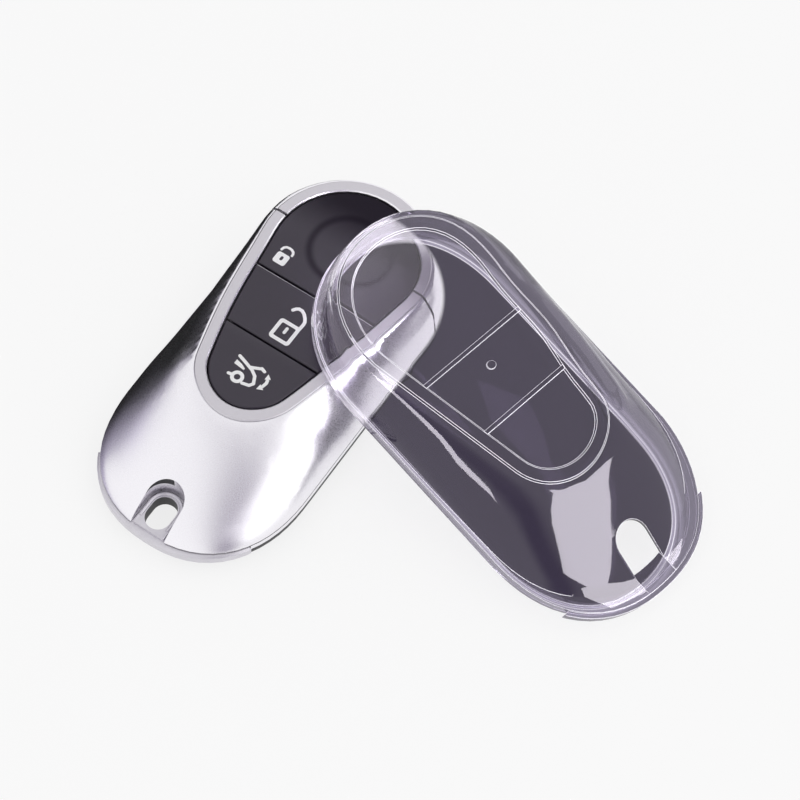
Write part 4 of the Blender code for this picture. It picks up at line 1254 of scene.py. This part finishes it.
class FOB_OT_unlock_sign(bpy.types.Operator):
    """Prints an open padlock on the unlock button"""

    bl_idname = "fob.unlock_sign"
    bl_label = "Unlock Sign"

    def execute(self, context):
        width, low, height = print_sizes(context, "unlock")
        body = rounded_block(*in_metres(UNLOCK_BODY), UNLOCK_BODY_ROUND, low, height)
        cut_out(body, rounded_block, UNLOCK_HOLLOW_ROUND, UNLOCK_HOLLOW, low, height)
        slot = bar(*in_metres(UNLOCK_SLOT), UNLOCK_SLOT_WIDTH, low, height)
        shackle = stroke(in_metres(UNLOCK_SHACKLE), width, low, height)
        print_on(context, joined([body, slot, *shackle]), "unlock_sign", "unlock_key")
        return {"FINISHED"}


class FOB_OT_boot_sign(bpy.types.Operator):
    """Prints the back of a car with its boot open on the boot button"""

    bl_idname = "fob.boot_sign"
    bl_label = "Boot Sign"

    def execute(self, context):
        width, low, height = print_sizes(context, "boot")
        wheel = bar(*in_metres(BOOT_WHEEL), BOOT_WHEEL_WIDTH, low, height)
        cut_out(wheel, bar, BOOT_HUB_WIDTH, BOOT_WHEEL, low, height)
        bars = [
            bit for line in BOOT_LINES for bit in stroke(in_metres(line), width, low, height)
        ]
        fills = [plate(in_metres(corners), low, height) for corners in BOOT_PLATES]
        print_on(context, joined([wheel, *bars, *fills]), "boot_sign", "boot_key")
        return {"FINISHED"}


class FOB_OT_back(bpy.types.Operator):
    """Dresses the black back and the slide that holds the spare key"""

    bl_idname = "fob.back"
    bl_label = "Back And Latch"

    def execute(self, context):
        shell = dress(context, "rear_shell", "back_shell", "fob", "black_plastic")
        cut_level(shell, SILVER_SIDE_FROM)
        paint_faces(shell, "satin_silver", silver_side)
        dress(context, "key_latch", "latch_slide_pad", "latch", "black_plastic")
        return {"FINISHED"}


class FOB_OT_spare_key(bpy.types.Operator):
    """Dresses the spare key's grey head and its steel blade"""

    bl_idname = "fob.spare_key"
    bl_label = "Spare Key"

    def execute(self, context):
        head = dress(context, "key_head", "spare_key_head", "spare_key", "head_grey")
        # The eye's wall gets black plastic as painted shade.
        paint_faces(head, "black_plastic", in_painted_eye_shade)
        self.make_bead(context)
        dress(context, "key_blade", "spare_key_blade", "spare_key", "steel")
        return {"FINISHED"}

    def make_bead(self, context):
        """A raised round bead along the edge of the tab: a circle that runs and spins round it."""
        sizes = context.scene.fob_sizes
        bpy.ops.object.select_all(action="DESELECT")
        bpy.ops.mesh.primitive_circle_add(
            vertices=16,
            radius=sizes.bead_radius,
            fill_type="NGON",
            location=(-BEAD_HALF_WIDTH, BEAD_START_Y, BEAD_LEVEL),
            rotation=(math.pi / 2.0, 0.0, 0.0),
        )
        bead = bpy.context.active_object
        bead.name = "tab_bead"
        settle(bead)
        open_whole(bead)
        leg = BEAD_ARC_Y - BEAD_START_Y
        bpy.ops.mesh.extrude_region_move(TRANSFORM_OT_translate={"value": (0.0, leg, 0.0)})
        middle = (0.0, BEAD_ARC_Y, BEAD_LEVEL)
        bpy.ops.mesh.spin(steps=24, angle=math.pi, center=middle, axis=(0.0, 0.0, 1.0))
        bpy.ops.mesh.extrude_region_move(TRANSFORM_OT_translate={"value": (0.0, -leg, 0.0)})
        bpy.ops.mesh.select_all(action="SELECT")
        bpy.ops.mesh.remove_doubles(threshold=WELD_DISTANCE)
        bpy.ops.mesh.delete_loose()
        bpy.ops.mesh.select_all(action="SELECT")
        bpy.ops.mesh.normals_make_consistent(inside=False)
        bpy.ops.object.mode_set(mode="OBJECT")
        bpy.ops.object.shade_smooth_by_angle(angle=SMOOTH_ANGLE)
        give(bead, finish("head_grey", context.scene))
        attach(bead, "spare_key")


INSIDE_PARTS = {
    "latch_spring": "steel",
    "inner_frame": "black_plastic",
    "circuit_board": "board_green",
    "lock_switch": "black_plastic",
    "unlock_switch": "black_plastic",
    "boot_switch": "black_plastic",
    "switch_mat": "mat_silicone",
    "control_chip": "black_plastic",
    "crystal": "steel",
    "antenna_coil": "coil_copper",
    "coin_cell": "steel",
    "cell_contact_top": "steel",
    "cell_contact_bottom": "steel",
}


class FOB_OT_inside(bpy.types.Operator):
    """Gives the sealed parts inside the fob, which stay as they are, their finishes"""

    bl_idname = "fob.inside"
    bl_label = "Inside Parts"

    def execute(self, context):
        for node, slot in INSIDE_PARTS.items():
            give(frame["nodes"][node], finish(slot, context.scene))
        return {"FINISHED"}


def soften_edges(piece):
    """Rounds the sharp edges of the cover, in the frosted finish whose painted highlight makes them
    show as pale lines.
    """
    open_whole(piece)
    bpy.ops.mesh.dissolve_limited(angle_limit=math.radians(1.5), delimit={"MATERIAL"})
    bpy.ops.object.mode_set(mode="OBJECT")
    change = piece.modifiers.new("soft_edges", "BEVEL")
    change.width = COVER_EDGE_WIDTH
    change.segments = 2
    change.limit_method = "ANGLE"
    change.angle_limit = COVER_EDGE_ANGLE
    change.material = 1
    bpy.ops.object.modifier_apply(modifier=change.name)
    bpy.ops.object.shade_smooth_by_angle(angle=SMOOTH_ANGLE)


class FOB_OT_clear_cover(bpy.types.Operator):
    """Dresses the clear moulded cover that lies across the fob"""

    bl_idname = "fob.clear_cover"
    bl_label = "Clear Cover"

    def execute(self, context):
        piece = dress(context, "clear_cover", "moulded_clear_cover", "cover", "clear_plastic")
        piece.data.materials.append(finish("frosted_highlight_plastic", context.scene))
        soften_edges(piece)
        shape_cover(piece)
        return {"FINISHED"}


def lamp(name, radiance, azimuth, height, roll, distance, width, depth):
    """A soft lamp, turned by roll about its aim, whose face gives off that radiance."""
    place = toward(math.radians(azimuth), math.radians(height), distance)
    turn = (-place).to_track_quat("-Z", "Y") @ Quaternion((0.0, 0.0, 1.0), math.radians(roll))
    bpy.ops.object.light_add(type="AREA", location=place, rotation=turn.to_euler())
    item = bpy.context.active_object
    item.name = name
    item.data.shape = "RECTANGLE"
    item.data.size = width
    item.data.size_y = depth
    item.data.energy = radiance * math.pi * width * depth
    return item


class FOB_OT_stage(bpy.types.Operator):
    """Sets up the pale floor, the studio light and the camera"""

    bl_idname = "fob.stage"
    bl_label = "Stage"

    def execute(self, context):
        scene = context.scene
        self.make_floor(scene)
        self.make_room(scene)
        light = scene.studio_light
        main_lamp = lamp("right_lamp", light.key_lamp, *RIGHT_LAMP)
        strips = (
            lamp("cover_strip", light.cover_strips, *COVER_STRIP),
            lamp("cover_top_strip", light.cover_strips, *COVER_TOP_STRIP),
        )
        cover = bpy.data.objects["moulded_clear_cover"]
        lit = bpy.data.collections.new("lit_by_strips")
        unlit = bpy.data.collections.new("unlit_by_main_lamp")
        for linked in (lit, unlit):
            linked.objects.link(cover)
        unlit.collection_objects[0].light_linking.link_state = "EXCLUDE"
        main_lamp.light_linking.receiver_collection = unlit
        for strip in strips:
            strip.light_linking.receiver_collection = lit
        self.make_flag()
        self.make_camera(scene)
        scene.view_settings.view_transform = "Standard"
        return {"FINISHED"}

    def make_floor(self, scene):
        """A wide sheet of pale paper, mostly lit by itself so that its shadow stays light."""
        bpy.ops.object.select_all(action="DESELECT")
        bpy.ops.mesh.primitive_circle_add(
            vertices=96, radius=12.0, fill_type="NGON", location=(0.0, 0.0, -FLOOR_BELOW)
        )
        floor = bpy.context.active_object
        settle(floor)
        floor.name = "paper_floor"
        made, tree, shader, place = new_material("white_paper")
        fibre = add(tree, "ShaderNodeTexNoise", {"Vector": place, "Scale": 0.8, "Detail": 4.0})
        paper = {
            "Base Color": scene.fob_colours.floor,
            "Roughness": 0.9,
            "Specular IOR Level": 0.0,
        }
        surface(tree, shader, paper, bump=(fibre.outputs["Fac"], 0.03, 0.05))
        seen = self.seen_rays(tree)
        glow = add(tree, "ShaderNodeEmission", {"Color": linear("#ffffff"), "Strength": 1.0})
        share = add(tree, "ShaderNodeMath", {0: seen, 1: FLOOR_GLOW}, operation="MULTIPLY")
        inputs = {0: share.outputs[0], 1: shader.outputs["BSDF"], 2: glow.outputs["Emission"]}
        show(tree, add(tree, "ShaderNodeMixShader", inputs))
        give(floor, made)

    def seen_rays(self, tree):
        """1 for a ray that sees the background: from the camera, off gloss or through glass."""
        path = add(tree, "ShaderNodeLightPath")
        seen = path.outputs["Is Camera Ray"]
        for other in ("Is Glossy Ray", "Is Transmission Ray"):
            either = {0: seen, 1: path.outputs[other]}
            seen = add(tree, "ShaderNodeMath", either, operation="MAXIMUM").outputs[0]
        return seen

    def make_room(self, scene):
        """A pale room, white but for a soft lavender grey band up the side of the camera."""
        world = bpy.data.worlds.new("pale_room")
        scene.world = world
        world.use_nodes = True
        tree = world.node_tree
        tree.nodes.clear()
        way = add(tree, "ShaderNodeTexCoord").outputs["Generated"]
        beside = add(
            tree,
            "ShaderNodeVectorMath",
            {0: way, 1: toward(GREY_BAND_AZIMUTH + math.pi / 2.0, 0.0, 1.0)},
            operation="DOT_PRODUCT",
        )
        off = add(tree, "ShaderNodeMath", {0: beside.outputs["Value"]}, operation="ABSOLUTE")
        off_band = {"Value": off.outputs[0], "From Min": 0.05, "From Max": 0.32}
        band = add(
            tree,
            "ShaderNodeMapRange",
            {**off_band, "To Min": 1.0, "To Max": 0.0},
            interpolation_type="SMOOTHSTEP",
        )
        forward = add(
            tree,
            "ShaderNodeVectorMath",
            {0: way, 1: toward(GREY_BAND_AZIMUTH, 0.0, 1.0)},
            operation="DOT_PRODUCT",
        )
        fade = add(
            tree,
            "ShaderNodeMapRange",
            {"Value": forward.outputs["Value"], "From Min": -0.6, "From Max": 0.5},
        )
        both = {0: band.outputs["Result"], 1: fade.outputs["Result"]}
        patch = add(tree, "ShaderNodeMath", both, operation="MULTIPLY")
        colour = add(
            tree,
            "ShaderNodeMix",
            {"Factor": patch.outputs[0], 6: linear("#ffffff"), 7: linear("#857d90")},
            data_type="RGBA",
        )
        seen = self.seen_rays(tree)
        strength = add(
            tree,
            "ShaderNodeMapRange",
            {"Value": seen, "To Min": scene.studio_light.room, "To Max": 1.0},
        )
        back = add(
            tree,
            "ShaderNodeBackground",
            {"Color": colour.outputs[2], "Strength": strength.outputs["Result"]},
        )
        add(tree, "ShaderNodeOutputWorld", {"Surface": back.outputs["Background"]})

    def make_flag(self):
        """A dark card left of the fob that only gloss sees, for the dark flank of the silver."""
        bpy.ops.object.select_all(action="DESELECT")
        bpy.ops.mesh.primitive_plane_add(size=1.0)
        card = bpy.context.active_object
        card.name = "dark_card"
        card.scale = (CARD_FAR - CARD_NEAR, CARD_BACK - CARD_FRONT, 1.0)
        middle = (-(CARD_FAR + CARD_NEAR) / 2.0, (CARD_BACK + CARD_FRONT) / 2.0)
        card.location = (*middle, CARD_LEVEL)
        settle(card)
        edit(card)
        select_points(card, lambda place: place.x < -CARD_FAR + MM)
        rise = (0.0, 0.0, CARD_HEIGHT)
        bpy.ops.mesh.extrude_region_move(TRANSFORM_OT_translate={"value": rise})
        bpy.ops.object.mode_set(mode="OBJECT")
        made = bpy.data.materials.new("dark_card_board")
        made.use_nodes = True
        tree = made.node_tree
        tree.nodes.clear()
        place = add(tree, "ShaderNodeTexCoord").outputs["Object"]
        parts = add(tree, "ShaderNodeSeparateXYZ", {"Vector": place})
        from_x, from_y = CARD_GLOW_MIDDLE
        inputs = {0: from_x, 1: parts.outputs["X"]}
        across = add(tree, "ShaderNodeMath", inputs, operation="SUBTRACT")
        inputs = {0: parts.outputs["Y"], 1: from_y}
        along = add(tree, "ShaderNodeMath", inputs, operation="SUBTRACT")
        ends = {0: along.outputs[0], 1: across.outputs[0]}
        turn = add(tree, "ShaderNodeMath", ends, operation="ARCTAN2")
        sideways = add(
            tree,
            "ShaderNodeMapRange",
            {
                "Value": turn.outputs[0],
                "From Min": math.radians(-20.0),
                "From Max": math.radians(12.0),
                "To Min": 0.55,
                "To Max": 0.0,
            },
            interpolation_type="SMOOTHSTEP",
        )
        upward = add(
            tree,
            "ShaderNodeMapRange",
            {"Value": parts.outputs["Z"], "From Min": 0.20, "From Max": 0.36, "To Max": 0.45},
            interpolation_type="SMOOTHSTEP",
        )
        both = {0: sideways.outputs["Result"], 1: upward.outputs["Result"]}
        level = add(tree, "ShaderNodeMath", both, operation="ADD").outputs[0]
        glow = add(tree, "ShaderNodeEmission", {"Color": linear("#ebe2ff"), "Strength": level})
        add(tree, "ShaderNodeOutputMaterial", {"Surface": glow.outputs["Emission"]})
        give(card, made)
        card.visible_camera = False
        card.visible_diffuse = False
        card.visible_transmission = False
        card.visible_shadow = False

    def make_camera(self, scene):
        """The camera at the photograph's angle, distance and framing."""
        back = LEAN
        right = Vector((math.cos(VIEW_AZIMUTH), math.sin(VIEW_AZIMUTH), 0.0))
        up = back.cross(right)
        bpy.ops.object.camera_add(location=VIEW_POINT + back * VIEW_DISTANCE)
        camera = bpy.context.active_object
        turn = Matrix((right, up, back)).transposed().to_4x4()
        camera.matrix_world = Matrix.Translation(VIEW_POINT + back * VIEW_DISTANCE) @ turn
        lens = camera.data
        lens.sensor_fit = "HORIZONTAL"
        lens.sensor_width = SENSOR_WIDTH
        lens.lens = PIXELS_PER_METRE * VIEW_DISTANCE / PICTURE_SIDE * SENSOR_WIDTH
        lens.shift_x = (PICTURE_SIDE / 2.0 - VIEW_POINT_PIXEL[0]) / PICTURE_SIDE
        lens.shift_y = (VIEW_POINT_PIXEL[1] - PICTURE_SIDE / 2.0) / PICTURE_SIDE
        lens.clip_start = 0.01
        scene.camera = camera


STEPS = (
    FOB_OT_silver_body,
    FOB_OT_trim_ring,
    FOB_OT_buttons,
    FOB_OT_lock_sign,
    FOB_OT_unlock_sign,
    FOB_OT_boot_sign,
    FOB_OT_back,
    FOB_OT_spare_key,
    FOB_OT_inside,
    FOB_OT_clear_cover,
    FOB_OT_stage,
)


class FOB_PT_key_fob(bpy.types.Panel):
    """Lists the steps that dress the key fob"""

    bl_idname = "FOB_PT_key_fob"
    bl_label = "Key Fob"
    bl_space_type = "VIEW_3D"
    bl_region_type = "UI"
    bl_category = "Key Fob"

    def draw(self, context):
        column = self.layout.column(align=True)
        for step in STEPS:
            column.operator(step.bl_idname)
        scene = context.scene
        for group in (scene.fob_colours, scene.fob_sizes, scene.studio_light):
            box = self.layout.box()
            for name in group.__annotations__:
                box.prop(group, name)


CLASSES = (FobColours, FobSizes, StudioLight, *STEPS, FOB_PT_key_fob)


def register():
    for item in CLASSES:
        bpy.utils.register_class(item)
    bpy.types.Scene.fob_colours = bpy.props.PointerProperty(type=FobColours)
    bpy.types.Scene.fob_sizes = bpy.props.PointerProperty(type=FobSizes)
    bpy.types.Scene.studio_light = bpy.props.PointerProperty(type=StudioLight)


def unregister():
    del bpy.types.Scene.studio_light
    del bpy.types.Scene.fob_sizes
    del bpy.types.Scene.fob_colours
    for item in reversed(CLASSES):
        bpy.utils.unregister_class(item)


def main():
    """Registers the add-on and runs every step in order."""
    register()
    bpy.ops.fob.silver_body()
    bpy.ops.fob.trim_ring()
    bpy.ops.fob.buttons()
    bpy.ops.fob.lock_sign()
    bpy.ops.fob.unlock_sign()
    bpy.ops.fob.boot_sign()
    bpy.ops.fob.back()
    bpy.ops.fob.spare_key()
    bpy.ops.fob.inside()
    bpy.ops.fob.clear_cover()
    bpy.ops.fob.stage()


if __name__ == "__main__":
    main()
